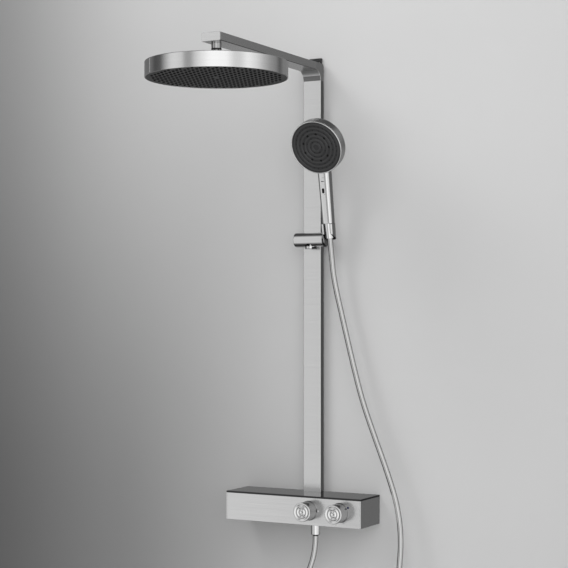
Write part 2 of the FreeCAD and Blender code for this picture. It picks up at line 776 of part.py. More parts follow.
def overhead_disc():
    at = ("0", "-head_reach", "head_bottom")
    inside = "(head_radius - head_wall)"
    roof = "(head_height - head_wall)"
    node("head_shell",
         turned([("collar_port", roof), (inside, roof), (inside, "0"),
                 ("head_radius", "0"), ("head_radius", "head_height - head_edge"),
                 ("head_radius - head_edge", "head_height"), ("collar_port", "head_height")], at))
    plate_top = "(face_recess + spray_plate_thick)"
    node("spray_plate", rod(inside, "spray_plate_thick",
                            ("0", "-head_reach", "head_bottom + face_recess")))
    node("nozzle_mat", rod(f"{inside} - mat_margin", "mat_thick",
                           ("0", "-head_reach", f"head_bottom + {plate_top}")))
    mat_top = f"({plate_top} + mat_thick)"
    deck = f"({mat_top} + chamber_gap)"
    edge = f"({inside} - mat_margin)"
    above = f"({deck} + chamber_thick)"
    node("water_chamber",
         turned([("collar_port", deck), (f"{edge} - chamber_thick", deck),
                 (f"{edge} - chamber_thick", mat_top), (edge, mat_top), (edge, above),
                 ("feed_radius", above), ("feed_radius", roof), ("collar_port", roof)], at))
    node("flow_strainer", rod("collar_port", "strainer_thick",
                              ("0", "-head_reach", f"head_bottom + {above}")))
    post = f"{roof} - {above}"
    angles = [f"{number} * 4 * quarter_turn / {HEAD_SCREWS}" for number in range(HEAD_SCREWS)]
    spots = [(f"head_screw_ring * cos({angle})", f"head_screw_ring * sin({angle}) - head_reach")
             for angle in angles]
    node("head_screws", group(*[
        turned([("0", "0"), ("head_screw_head", "0"), ("head_screw_head", "head_screw_radius"),
                ("head_screw_radius", "head_screw_radius"), ("head_screw_radius", post),
                ("0", post)], (x, y, f"head_bottom + {above}"))
        for x, y in spots]))


def slider():
    side_gap = "(pad_thick + fit_gap)"
    half = f"(column_width / 2 + {side_gap} + carriage_wall)"
    back = "(fit_gap + carriage_back - column_gap)"
    inner_front = f"(-{COLUMN_FRONT} - fit_gap)"
    front = f"({inner_front} - carriage_front)"
    size = (f"2 * {half}", f"{back} - {front}", "carriage_height")
    at = (f"-{half}", front, "slider_z - carriage_height / 2")
    passage = box((f"column_width + 2 * {side_gap}", "column_depth + 2 * fit_gap",
                   "carriage_height + 2 * overrun"),
                  (f"-column_width / 2 - {side_gap}", inner_front,
                   "slider_z - carriage_height / 2 - overrun"))
    shoe = ("shoe_length", "carriage_front", "shoe_height")
    shoe_at = ("slider_offset - shoe_length / 2", front, "slider_z - shoe_height / 2 + guide_drop")
    guide = box(("2 * guide_radius", f"{front} - {SLIDER_Y} + guide_radius", "guide_thick"),
                ("slider_offset - guide_radius", f"{SLIDER_Y} - guide_radius",
                 "slider_z - guide_drop - guide_thick"))
    shaft = rod("release_stem_radius + fit_gap", "slider_length",
                ("slider_offset", SLIDER_Y, "slider_z - slider_length / 2"))
    node("slider_carriage", cut(fuse(box(size, at), guide), passage, box(shoe, shoe_at), shaft))
    node("brake_shoe", box(shoe, shoe_at))
    node("glide_pads", group(*[
        box(("pad_thick", "column_depth", "pad_height"),
            (x, f"-{COLUMN_FRONT}", "slider_z - pad_height / 2"))
        for x in (f"-column_width / 2 - {side_gap}", "column_width / 2 + fit_gap")]))

    start = (f"{SLIDER_LEFT} + slider_dome", SLIDER_Y, "slider_z")
    length = "slider_length - slider_dome - slider_wall"
    bore = "(slider_radius - slider_wall)"
    button_hole = rod("release_radius + fit_gap", "slider_radius",
                      ("slider_offset", SLIDER_Y, "slider_z - slider_radius - overrun"))
    node("slider_cover", cut(rod("slider_radius", length, start, "x"),
                             rod(bore, length, start, "x"), box(size, at), button_hole))
    cap = turned([("0", "0"), ("slider_radius - slider_dome", "0"),
                  ("slider_radius", "slider_dome"), (bore, "slider_dome"),
                  (bore, "slider_dome + end_plug"), ("0", "slider_dome + end_plug")],
                 (SLIDER_LEFT, SLIDER_Y, "slider_z"), "x")
    node("slider_end_cap", cut(cap, box(size, at)))
    pivot_start = f"{SLIDER_RIGHT} + hub_thick - pivot_length"
    plate = rod("slider_radius", "slider_wall",
                (f"{SLIDER_RIGHT} - slider_wall", SLIDER_Y, "slider_z"), "x")
    pivot = rod("pivot_radius", "pivot_length", (pivot_start, SLIDER_Y, "slider_z"), "x")
    node("slider_pivot_plate", fuse(plate, pivot))
    release_button(bore)


def release_button(bore):
    """The sprung button under the slider that frees its brake."""
    bottom = "(slider_z - slider_radius - release_proud)"
    stem_top = "(release_proud + slider_radius - guide_drop + guide_thick)"
    button = turned([("0", "0"), ("release_radius - release_edge", "0"),
                     ("release_radius", "release_edge"), ("release_radius", "release_thick"),
                     ("release_stem_radius", "release_thick"), ("release_stem_radius", stem_top),
                     ("0", stem_top)], ("slider_offset", SLIDER_Y, bottom))
    node("release_button", button)
    spring_length = f"slider_z + {bore} - {bottom} - {stem_top}"
    at = ("slider_offset", SLIDER_Y, f"{bottom} + {stem_top}")
    node("release_spring", cut(rod("release_stem_radius", f"{spring_length} - spring_seat", at),
                               rod("release_stem_radius - spring_wall", spring_length, at)))


def cradle():
    """The tilting holder: a hub on the slider's pivot and a split sleeve for the hose's nut."""
    frame = hand_frame()
    taper = "((nut_top_radius - nut_bottom_radius) / nut_length)"
    low = f"nut_bottom_radius + fit_gap - (nut_seat + overrun) * {taper}"
    high = f"nut_bottom_radius + fit_gap + (sleeve_height + overrun - nut_seat) * {taper}"
    length = "sleeve_height + 2 * overrun"
    nothing = ("0", "0", "0")
    sleeve = seat(rod("sleeve_radius", "sleeve_height", nothing), frame)
    bore = seat(cone(low, high, length, nothing), frame, ("0", "0", "-overrun"))
    slot = seat(box(("sleeve_slot", "sleeve_radius + overrun", length), nothing), frame,
                ("-sleeve_slot / 2", "-sleeve_radius - overrun", "-overrun"))
    start = f"{SLIDER_RIGHT} + fit_gap"
    hub = rod("hub_radius", "hub_thick", (start, SLIDER_Y, "slider_z"), "x")
    hole = rod("pivot_radius + running_gap", "hub_thick", (start, SLIDER_Y, "slider_z"), "x")
    bridge = seat(box(("sleeve_radius - fit_gap", "2 * yoke_half", "sleeve_height"), nothing),
                  frame, ("fit_gap - hand_x", "-yoke_half", "0"))
    node("cradle", cut(fuse(sleeve, hub, bridge), bore, slot, hole))


def round_section(width, depth, rise, shift):
    """A rounded rectangle, the outline of the handle at one height."""
    corner = min(value("handle_round"), corner_share * value(depth), corner_share * value(width))
    half_x = value(width) / 2
    half_y = value(depth) / 2
    flat_x = half_x - corner
    flat_y = half_y - corner
    arc = corner * math.sqrt(0.5)
    middle = Vector(0, value(shift), value(rise))
    edges = []
    for sx, sy, swap in ((1, -1, False), (1, 1, True), (-1, 1, False), (-1, -1, True)):
        on_side = Vector(sx * half_x, sy * flat_y, 0)
        on_end = Vector(sx * flat_x, sy * half_y, 0)
        through = Vector(sx * (flat_x + arc), sy * (flat_y + arc), 0)
        first, last = (on_side, on_end) if swap else (on_end, on_side)
        edges.append([middle + spot for spot in (first, through, last)])
    wire = []
    for here, after in zip(edges, edges[1:] + edges[:1]):
        wire.append(Part.Arc(*here).toShape())
        wire.append(Part.LineSegment(here[-1], after[0]).toShape())
    return Part.Wire(wire)


def handle():
    sections = [
        round_section("handle_width_low", "handle_depth_low", NUT_TOP, "0"),
        round_section("handle_width_top", "handle_depth_top", HANDLE_TOP, "0"),
        round_section("handle_width_top", "neck_depth", f"{HANDLE_TOP} + neck_rise",
                      "-neck_shift"),
    ]
    thing = doc.addObject("Part::Feature", "handle")
    thing.Shape = Part.makeLoft(sections, True, True)
    return seat(thing, hand_frame())


def stadium(width, length, depth, at):
    """A slot shaped block in the handle's frame, upright and running back from its front."""
    frame = hand_frame()
    x, y, z = at
    nothing = ("0", "0", "0")
    bar = seat(box((width, depth, f"{length} - {width}"), nothing), frame,
               (f"{x} - {width} / 2", y, f"{z} + {width} / 2"))
    ends = [seat(rod(f"{width} / 2", depth, nothing), frame, (x, y, rise), "y")
            for rise in (f"{z} + {width} / 2", f"{z} + {length} - {width} / 2")]
    return fuse(bar, *ends)


def hand_shower():
    hand = hand_frame()
    head = head_frame()
    nothing = ("0", "0", "0")
    washer_low = f"{NUT_TOP} - washer_thick"
    node("hand_hose_nut", seat(turned([
        ("waterway_bore", "nut_seat"), ("nut_bottom_radius", "nut_seat"),
        ("nut_top_radius", NUT_TOP), ("nut_washer_radius", NUT_TOP),
        ("nut_washer_radius", washer_low), ("waterway_bore", washer_low)], nothing), hand))
    node("hand_washer", seat(turned([
        ("waterway_bore", washer_low), ("nut_washer_radius", washer_low),
        ("nut_washer_radius", NUT_TOP), ("waterway_bore", NUT_TOP)], nothing), hand))

    lid = seat(turned([
        ("0", "hand_trim_thick"), ("hand_head_radius", "hand_trim_thick"),
        ("hand_head_radius", "hand_head_thick - hand_head_edge"),
        ("hand_head_radius - hand_head_edge", "hand_head_thick"), ("0", "hand_head_thick")],
        nothing), head)
    cavity = seat(rod("hand_head_radius - hand_head_wall", "hand_head_thick - hand_head_wall",
                      nothing), head)
    waterway = seat(rod("waterway_radius", "handle_length + waterway_rise", nothing), hand,
                    ("0", "0", NUT_TOP))
    front = "(-handle_depth_top / 2)"
    pocket = stadium("(select_width + 2 * fit_gap)", "(select_length + 2 * fit_gap)",
                     "select_depth - select_proud + select_travel + fit_gap + overrun",
                     ("0", f"{front} - overrun", f"{SELECT_Z} - fit_gap"))
    node("hand_shell", cut(fuse(handle(), lid), cavity, waterway, pocket))
    rim = "(hand_head_radius - hand_trim_width)"
    node("hand_trim_ring", seat(turned([
        (rim, "0"), ("hand_head_radius - hand_trim_edge", "0"),
        ("hand_head_radius", "hand_trim_edge"), ("hand_head_radius", "hand_trim_thick"),
        (rim, "hand_trim_thick")], nothing), head))
    layers = (("hand_spray_face", rim, "hand_face_thick"),
              ("hand_nozzle_mat", f"{rim} - hand_mat_margin", "hand_mat_thick"),
              ("spray_distributor", f"{rim} - distributor_margin", "distributor_thick"))
    depth = "hand_face_recess"
    for name, radius, thick in layers:
        node(name, seat(rod(radius, thick, nothing), head, ("0", "0", depth)))
        depth = f"{depth} + {thick}"
    node("hand_waterway", cut(
        seat(rod("waterway_radius", "handle_length", nothing), hand, ("0", "0", NUT_TOP)),
        seat(rod("waterway_bore", "handle_length", nothing), hand, ("0", "0", NUT_TOP))))

    start = f"{front} - select_proud"
    node("select_button", stadium("select_width", "select_length", "select_depth",
                                  ("0", start, SELECT_Z)))
    gap = "select_travel + fit_gap"
    spring_at = ("0", f"{start} + select_depth", f"{SELECT_Z} + select_length / 2")
    node("select_spring", cut(
        seat(rod("select_width / 2 - spring_wall", gap, nothing), hand, spring_at, "y"),
        seat(rod("select_width / 2 - 2 * spring_wall", gap, nothing), hand, spring_at, "y")))


def hose():
    """The hose: straight runs joined by tangent arcs as large as the runs allow."""
    points = [Vector(*point) for point in HOSE_ROUTE]
    start = points[0]
    edges = []
    for before, corner, after in zip(points, points[1:], points[2:]):
        back = before - corner
        ahead = after - corner
        turn = math.pi - back.getAngle(ahead)
        reach = arc_share * min(back.Length, ahead.Length)
        radius = reach / math.tan(turn / 2)
        back.normalize()
        ahead.normalize()
        inward = (back + ahead).normalize()
        first = corner + back * reach
        last = corner + ahead * reach
        middle = corner + inward * (radius / math.cos(turn / 2) - radius)
        edges.append(Part.LineSegment(start, first).toShape())
        edges.append(Part.Arc(first, middle, last).toShape())
        start = last
        print(f"hose turn {math.degrees(turn):.1f} degrees, radius {radius:.0f} mm")
    edges.append(Part.LineSegment(start, points[-1]).toShape())
    path = Part.Wire(edges)
    radius = value("hose_radius")
    ring = Part.Wire(Part.makeCircle(radius, points[0], points[1] - points[0]))
    thing = doc.addObject("Part::Feature", "hose")
    thing.Shape = path.makePipeShell([ring], True, False)
    expected = math.pi * radius ** 2 * path.Length
    print(f"hose length {path.Length:.1f} mm, volume {thing.Shape.Volume / expected:.4f} of a rod")
    node("hose", thing)

    low = "hose_nut_length + hose_nut_taper"
    deep = "(hose_nut_length - 2 * hose_nut_taper)"
    node("outlet_hose_nut", turned([
        ("nipple_radius", "0"), ("hose_nut_radius", "0"), ("hose_nut_radius", "hose_nut_length"),
        ("hose_radius + fit_gap", low), ("nipple_bore", low), ("nipple_bore", deep),
        ("nipple_radius", deep)],
        (OUTLET_X, "-outlet_y", f"{BOTTOM} - hose_nut_gap"), "-z"))


def finish():
    """Check every object, then write each sub-part to its own file."""
    doc.recompute()
    faults = [thing.Name for thing in doc.Objects
              if "Invalid" in thing.State or "Error" in thing.State]
    for thing in nodes:
        shape = thing.Shape
        if shape.isNull() or not shape.isValid() or not shape.Solids:
            faults.append(thing.Label)
    if faults:
        raise RuntimeError(f"failed objects: {faults}")
    os.makedirs("parts", exist_ok=True)
    for thing in nodes:
        thing.Shape.exportStep(f"parts/{thing.Label}.step")
    print(f"{len(nodes)} nodes")


fill_sheet()
shelf()
wall_plate()
mixer()
cartridges()
knobs()
column()
arm()
upper_bracket()
ball_joint()
overhead_disc()
slider()
cradle()
hand_shower()
hose()
finish()
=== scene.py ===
import math

import bmesh
import bpy
from mathutils import Matrix, Vector


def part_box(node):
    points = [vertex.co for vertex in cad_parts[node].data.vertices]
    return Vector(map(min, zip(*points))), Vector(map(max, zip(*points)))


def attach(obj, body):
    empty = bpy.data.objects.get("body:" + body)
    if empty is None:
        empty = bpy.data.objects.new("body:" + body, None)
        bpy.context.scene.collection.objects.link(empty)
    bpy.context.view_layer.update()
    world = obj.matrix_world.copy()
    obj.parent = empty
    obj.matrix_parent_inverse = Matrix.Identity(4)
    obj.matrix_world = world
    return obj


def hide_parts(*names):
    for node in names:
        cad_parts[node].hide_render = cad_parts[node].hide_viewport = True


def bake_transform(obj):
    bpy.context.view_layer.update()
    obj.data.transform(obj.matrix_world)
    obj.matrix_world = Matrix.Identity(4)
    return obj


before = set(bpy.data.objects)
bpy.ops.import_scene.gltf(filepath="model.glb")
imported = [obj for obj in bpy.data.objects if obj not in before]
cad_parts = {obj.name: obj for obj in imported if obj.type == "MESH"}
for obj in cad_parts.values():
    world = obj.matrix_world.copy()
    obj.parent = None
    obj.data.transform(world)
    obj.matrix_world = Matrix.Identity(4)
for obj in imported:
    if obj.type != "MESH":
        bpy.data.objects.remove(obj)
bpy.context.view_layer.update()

# The looks of the shower system. Metres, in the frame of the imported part: the wall is the plane
# Y = 0, the room is towards -Y and Z is up.

MM = 0.001
ROOT = "mixer_and_column"

# Camera, as solved from the photograph's 568 pixel square frame.
PHOTO_PIXELS = 568
FOCAL_PIXELS = 1484.2
HORIZON_PIXEL = 309.6
CAMERA_AT = (1.6071, -3.1005, 0.4589)
CAMERA_YAW = math.radians(28.66)
SENSOR = 36

# The frame of the leaning hand shower: the foot of the cradle's sleeve, and its lean.
HAND_FOOT = Vector((0.0600, -0.0491, 0.6220))
HAND_LEAN = math.radians(10.2)
HAND_FRAME = Matrix.Translation(HAND_FOOT) @ Matrix.Rotation(HAND_LEAN, 4, "X")
HAND_FACE_ANGLE = math.radians(15.1 - 90)
HAND_FACE_AT = Vector((0, -0.0330, 0.2122))
HEAD_FRAME = HAND_FRAME @ Matrix.Translation(HAND_FACE_AT)
HEAD_FRAME = HEAD_FRAME @ Matrix.Rotation(HAND_FACE_ANGLE, 4, "X")

# The hose's route from the hand shower's nut to the shelf's outlet, as in the part's source.
HOSE_ROUTE = (
    (0.0600, -0.0494, 0.6236),
    (0.0606, -0.0425, 0.5850),
    (0.0650, -0.0400, 0.5300),
    (0.0880, -0.0410, 0.4400),
    (0.1150, -0.0430, 0.3380),
    (0.1405, -0.0450, 0.2500),
    (0.1730, -0.0480, 0.1700),
    (0.2080, -0.0520, 0.0880),
    (0.2330, -0.0550, 0.0180),
    (0.2440, -0.0580, -0.0580),
    (0.2370, -0.0600, -0.1420),
    (0.2480, -0.0630, -0.2120),
    (0.2680, -0.0680, -0.2840),
    (0.2640, -0.0740, -0.3440),
    (0.2330, -0.0790, -0.3910),
    (0.1845, -0.0820, -0.4200),
    (0.1290, -0.0830, -0.4270),
    (0.0735, -0.0820, -0.4120),
    (0.0260, -0.0790, -0.3760),
    (-0.0020, -0.0740, -0.3180),
    (-0.0090, -0.0690, -0.2400),
    (0.0080, -0.0655, -0.1600),
    (0.0303, -0.0640, -0.0970),
    (0.0303, -0.0640, -0.06245),
)
HOSE_RADIUS = 0.0063
# Heights that divide the hose between the hand shower, the cradle and the slider.
HOSE_HAND_Z = 0.5470
HOSE_SLIDER_Z = 0.4705


def camera():
    """The photograph's camera."""
    data = bpy.data.cameras.new("photo_camera")
    data.sensor_width = SENSOR
    data.lens = FOCAL_PIXELS / PHOTO_PIXELS * SENSOR
    data.shift_y = (HORIZON_PIXEL - PHOTO_PIXELS / 2) / PHOTO_PIXELS
    eye = bpy.data.objects.new("photo_camera", data)
    eye.location = CAMERA_AT
    eye.rotation_euler = (math.radians(90), 0, CAMERA_YAW)
    bpy.context.scene.collection.objects.link(eye)
    bpy.context.scene.camera = eye


# Node materials


class Nodes:
    """The nodes of a material or a world, added one by one."""

    def __init__(self, owner):
        owner.use_nodes = True
        self.tree = owner.node_tree
        self.tree.nodes.clear()

    def add(self, kind, values=None, **properties):
        made = self.tree.nodes.new(kind)
        for name, setting in properties.items():
            setattr(made, name, setting)
        for name, setting in (values or {}).items():
            made.inputs[name].default_value = setting
        return made

    def link(self, output, node, socket):
        self.tree.links.new(output, node.inputs[socket])

    def place(self, kind="Object"):
        return self.add("ShaderNodeTexCoord").outputs[kind]

    def axes(self, place):
        """The X, Y and Z of a place."""
        parts = self.add("ShaderNodeSeparateXYZ")
        self.link(place, parts, "Vector")
        return parts.outputs

    def maths(self, operation, *parts):
        """A sum of parts that are numbers or outputs of other nodes."""
        made = self.add("ShaderNodeMath", operation=operation)
        for number, part in enumerate(parts):
            if isinstance(part, (int, float)):
                made.inputs[number].default_value = part
            else:
                self.link(part, made, number)
        return made.outputs["Value"]

    def spread(self, value, start, end, low, high, kind="SMOOTHSTEP"):
        """The value between start and end, spread from low to high."""
        limits = {"From Min": start, "From Max": end, "To Min": low, "To Max": high}
        made = self.add("ShaderNodeMapRange", limits, interpolation_type=kind)
        self.link(value, made, "Value")
        return made.outputs["Result"]


class Shader(Nodes):
    """A material that ends in a Principled shader."""

    def __init__(self, name, **settings):
        self.material = bpy.data.materials.new(name)
        super().__init__(self.material)
        sockets = {socket.replace("_", " "): setting for socket, setting in settings.items()}
        self.surface = self.add("ShaderNodeBsdfPrincipled", sockets)
        self.output = self.add("ShaderNodeOutputMaterial")
        self.link(self.surface.outputs["BSDF"], self.output, "Surface")

    def to_surface(self, output, socket):
        self.link(output, self.surface, socket)

    def turned_place(self):
        """Radius and height about the object's own Z axis, for marks that run round it."""
        x, y, z = self.axes(self.place())
        flat = self.add("ShaderNodeCombineXYZ")
        self.link(x, flat, "X")
        self.link(y, flat, "Y")
        radius = self.add("ShaderNodeVectorMath", operation="LENGTH")
        self.link(flat.outputs["Vector"], radius, 0)
        joined = self.add("ShaderNodeCombineXYZ")
        self.link(radius.outputs["Value"], joined, "X")
        self.link(z, joined, "Z")
        return joined.outputs["Vector"]

    def noise(self, place, scale, detail=3.0):
        """Noise in units of the given scale along each axis, per metre."""
        stretch = self.add("ShaderNodeVectorMath", {1: scale}, operation="MULTIPLY")
        self.link(place, stretch, 0)
        made = self.add("ShaderNodeTexNoise", {"Scale": 1.0, "Detail": detail, "Roughness": 0.6})
        self.link(stretch.outputs["Vector"], made, "Vector")
        return made.outputs["Fac"]

    def ramp(self, value, low, high, start=0.3, end=0.7):
        """The value spread from low to high, numbers or colours."""
        if isinstance(low, (int, float)):
            return self.spread(value, start, end, low, high, "LINEAR")
        made = self.add("ShaderNodeValToRGB")
        for element, place, tone in zip(made.color_ramp.elements, (start, end), (low, high)):
            element.position = place
            element.color = (*tone, 1)
        self.link(value, made, "Fac")
        return made.outputs["Color"]

    def average(self, first, second, share=0.5):
        made = self.add("ShaderNodeMix", {"Factor": share}, data_type="FLOAT")
        self.link(first, made, 2)
        self.link(second, made, 3)
        return made.outputs[0]

    def bump(self, value, depth, strength=1.0):
        made = self.add("ShaderNodeBump", {"Strength": strength, "Distance": depth})
        self.link(value, made, "Height")
        self.to_surface(made.outputs["Normal"], "Normal")


def shade(colour, factor):
    return tuple(part * factor for part in colour)


STEEL = (0.605, 0.605, 0.605)
# Noise per metre: across and along scratches, and for marks that run in no direction.
FINE = 2200
LONG = 14
EVEN = (FINE, FINE, FINE)
SMOOTH = (400, 400, 400)
SCRATCH_DEPTH = 0.04 * MM
GRAIN_DEPTH = 0.05 * MM
HOSE_GRAIN_DEPTH = 0.03 * MM


def brushed(name, stretch, tone=1.0, colour=STEEL, rough=0.22, spread=0.04, round_axis=False,
            anisotropy=0.0, relief=0.12):
    """Brushed metal: fine scratches that run along the axis with the small stretch."""
    broad_share = 0.16
    mix_share = 0.3
    dark_share, pale_share = 0.96, 1.04
    shader = Shader(name, Metallic=1.0, Anisotropic=anisotropy, Anisotropic_Rotation=0.25)
    place = shader.turned_place() if round_axis else shader.place()
    fine = shader.noise(place, stretch)
    broad = shader.noise(place, [part * broad_share for part in stretch])
    both = shader.average(fine, broad, mix_share)
    colour = shade(colour, tone)
    tones = shader.ramp(both, shade(colour, dark_share), shade(colour, pale_share))
    shader.to_surface(tones, "Base Color")
    shader.to_surface(shader.ramp(both, rough + spread, rough - spread), "Roughness")
    shader.bump(fine, SCRATCH_DEPTH, relief)
    if round_axis:
        tangent = shader.add("ShaderNodeTangent", direction_type="RADIAL", axis="Z")
        shader.to_surface(tangent.outputs["Tangent"], "Tangent")
    return shader.material


def moulded(name, colour, rough, speck=0.12, grain=900, **settings):
    """Moulded plastic or rubber with a fine grain and slight changes of tone."""
    broad_share = 0.03
    spread = 0.06
    relief = 0.35
    shader = Shader(name, **settings)
    place = shader.place()
    fine = shader.noise(place, (grain, grain, grain))
    broad = shader.noise(place, (grain * broad_share,) * 3)
    tone = shader.ramp(broad, shade(colour, 1 - speck), shade(colour, 1 + speck))
    shader.to_surface(tone, "Base Color")
    shader.to_surface(shader.ramp(fine, rough - spread, rough + spread), "Roughness")
    shader.bump(fine, GRAIN_DEPTH, relief)
    return shader.material


def dark_glass():
    """Near black glass with faint smears."""
    shader = Shader("dark_glass", IOR=1.45)
    place = shader.place()
    smear = shader.noise(place, (40, 90, 40), 4.0)
    tone = shader.ramp(smear, (0.004, 0.004, 0.005), (0.008, 0.008, 0.009))
    shader.to_surface(tone, "Base Color")
    shader.to_surface(shader.ramp(smear, 0.03, 0.07), "Roughness")
    return shader.material


def hose_skin():
    """A smooth silver skin with a fine lengthwise grain."""
    shader = Shader("hose_skin", Metallic=1.0)
    place = shader.place()
    grain = shader.noise(place, (700, 700, 60))
    broad = shader.noise(place, (30, 30, 30))
    both = shader.average(grain, broad)
    shader.to_surface(shader.ramp(both, (0.40, 0.40, 0.40), (0.47, 0.47, 0.465)), "Base Color")
    shader.to_surface(shader.ramp(both, 0.15, 0.10), "Roughness")
    shader.bump(grain, HOSE_GRAIN_DEPTH, 0.1)
    return shader.material


def materials():
    """Every look by name."""
    across = (LONG, FINE, FINE)
    outwards = (FINE, LONG, FINE)
    upright = (FINE, FINE, LONG)
    return {
        "steel_x": brushed("steel_brushed_across", across),
        "steel_y": brushed("steel_brushed_outwards", outwards),
        # A paler copy of the steel for the arm: painted light.
        "arm_painted_light_steel": brushed("steel_arm_painted_light", outwards, 1.12),
        # Darker and paler copies of the steel for the elbow's inner bend: painted shade and painted
        # light.
        "bend_painted_shade_steel": brushed("steel_bend_painted_shade", across, 0.34, rough=0.5),
        "bend_painted_light_steel": brushed("steel_bend_painted_light", across, 1.2, rough=0.5),
        # A dark copy of the steel for the arm's lower right edge: painted shade.
        "edge_painted_shade_steel": brushed("steel_edge_painted_shade", outwards, 0.22, rough=0.24),
        "steel_z": brushed("steel_brushed_upright", upright),
        "steel_round": brushed("steel_turned", EVEN, rough=0.19, round_axis=True, anisotropy=0.6),
        "plated": brushed("plated_satin", upright, rough=0.15, spread=0.03, relief=0.05),
        "polished": brushed("steel_polished", SMOOTH, rough=0.06, spread=0.02, relief=0.0),
        "knob": brushed("knob_turned", EVEN, rough=0.13, spread=0.03, round_axis=True, relief=0.05),
        # A darker copy of the steel for the knobs' sides: painted shade.
        "knob_painted_shade_side": brushed("knob_painted_shade_side", EVEN, 0.42, rough=0.20),
        # A darker copy of the steel for the ball stud's neck: painted shade.
        "neck": brushed("steel_neck_painted_shade", SMOOTH, 0.55, rough=0.07, spread=0.02, relief=0.0),
        # A darker copy of the steel for faces in shade: painted shade.
        "shaded_steel": brushed("steel_shaded", across, 0.47, rough=0.24),
        "dull_steel": brushed("steel_plain", upright, 0.85, rough=0.42),
        "brass": brushed("brass_machined", EVEN, colour=(0.71, 0.55, 0.27), rough=0.35),
        "black_plastic": moulded("black_plastic", (0.018, 0.018, 0.019), 0.42),
        "pale_plastic": moulded("pale_plastic", (0.66, 0.66, 0.63), 0.48, speck=0.05),
        "black_rubber": moulded("black_rubber", (0.005, 0.005, 0.005), 0.6,
                                Specular_IOR_Level=0.15),
        "spray_face": moulded("spray_face_grey", (0.036, 0.036, 0.037), 0.45),
        "hand_face": moulded("hand_face_grey", (0.019, 0.019, 0.020), 0.42),
        "hand_rings": moulded("hand_ring_grey", (0.040, 0.040, 0.041), 0.42),
        "white_mark": moulded("white_mark", (0.85, 0.85, 0.85), 0.35, speck=0.03),
        "blue_mark": moulded("blue_mark", (0.008, 0.012, 0.075), 0.35, Specular_IOR_Level=0.1),
        "glass": dark_glass(),
        "hose": hose_skin(),
    }


# Mesh helpers

WELD = 0.001 * MM
ON_AXIS = 0.01 * MM
# Degrees between two faces above which their edge stays sharp.
SHARP = 32
SOFT_SHARP = 60
HANDLE_SHARP = 22


def shaped(name, shape, material, angle):
    """Turns a bmesh into an object, smooth but for edges sharper than the angle."""
    bmesh.ops.recalc_face_normals(shape, faces=shape.faces)
    mesh = bpy.data.meshes.new(name)
    shape.to_mesh(mesh)
    shape.free()
    mesh.shade_smooth()
    mesh.set_sharp_from_angle(angle=math.radians(angle))
    mesh.materials.append(material)
    made = bpy.data.objects.new(name, mesh)
    bpy.context.scene.collection.objects.link(made)
    return made


def piece(name, shape, material, body, slot, replaces=(), at=Matrix.Identity(4), angle=SHARP):
    """Turns a bmesh into a piece that rides on a body and stands for CAD nodes."""
    bmesh.ops.remove_doubles(shape, verts=shape.verts, dist=WELD)
    made = shaped(name, shape, material, angle)
    made.matrix_world = at
    flat = made.modifiers.new("flat_faces", "WEIGHTED_NORMAL")
    flat.keep_sharp = True
    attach(made, body)
    if replaces:
        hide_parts(*replaces)
    return made


def hung(name, shape, material, node):
    """Turns a bmesh into a fixed piece in place of a CAD node, which it hides."""
    made = shaped(name, shape, material, SOFT_SHARP)
    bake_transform(made)
    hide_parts(node)
    return made


def tint(made, material, test):
    """Gives a further material to faces still without one whose normal and centre pass a test."""
    made.data.materials.append(material)
    last = len(made.data.materials) - 1
    for face in made.data.polygons:
        if face.material_index == 0 and test(face.normal, face.center):
            face.material_index = last


def centred(low, high, turn=None, **start):
    """The frame of a round piece in the middle of a box, from where it starts along its axis."""
    middle = (low + high) / 2
    for axis, place in start.items():
        setattr(middle, axis, place)
    at = Matrix.Translation(middle)
    return at @ Matrix.Rotation(math.radians(90), 4, turn) if turn else at


def circle(steps):
    """Cosine and sine of even steps round a turn."""
    angles = [2 * math.pi * step / steps for step in range(steps)]
    return [(math.cos(angle), math.sin(angle)) for angle in angles]


def filleted(points, steps=5):
    """A closed outline of (x, y, radius) points with each corner rounded by an arc."""
    out = []
    count = len(points)
    for number, (x, y, radius) in enumerate(points):
        here = Vector((x, y))
        before = Vector(points[number - 1][:2]) - here
        after = Vector(points[(number + 1) % count][:2]) - here
        if radius <= 0:
            out.append(here)
            continue
        turn = before.angle(after)
        reach = min(radius / math.tan(turn / 2), before.length * 0.49, after.length * 0.49)
        bend = reach * math.tan(turn / 2)
        before.normalize()
        after.normalize()
        middle = here + (before + after).normalized() * (bend / math.sin(turn / 2))
        first = here + before * reach - middle
        last = here + after * reach - middle
        sweep = first.angle_signed(last)
        for step in range(steps + 1):
            out.append(middle + Matrix.Rotation(-sweep * step / steps, 2) @ first)
    return out


def lathe(shape, outline, segments=128, ribs=None):
    """Turns a closed outline of (radius, height) points about Z. ribs may change the radius."""
    rings = []
    for radius, height in outline:
        if radius < ON_AXIS:
            rings.append([shape.verts.new((0, 0, height))])
            continue
        ring = []
        for step in range(segments):
            angle = 2 * math.pi * step / segments
            far = ribs(radius, height, angle) if ribs else radius
            ring.append(shape.verts.new((far * math.cos(angle), far * math.sin(angle), height)))
        rings.append(ring)
    for ring, other in zip(rings, rings[1:] + rings[:1]):
        for step in range(segments):
            after = (step + 1) % segments
            corners = [ring[step % len(ring)], ring[after % len(ring)],
                       other[after % len(other)], other[step % len(other)]]
            corners = list(dict.fromkeys(corners))
            if len(corners) > 2:
                shape.faces.new(corners)


def turned(name, points, steps, segments, *rest):
    """A piece whose half outline is rounded at its corners and turned about Z."""
    shape = bmesh.new()
    lathe(shape, filleted(points, steps), segments)
    return piece(name, shape, *rest)


def soften(shape, edges, soft, segments=3):
    """Rounds the given edges."""
    bmesh.ops.bevel(shape, geom=edges, offset=soft, segments=segments, profile=0.5, affect="EDGES")


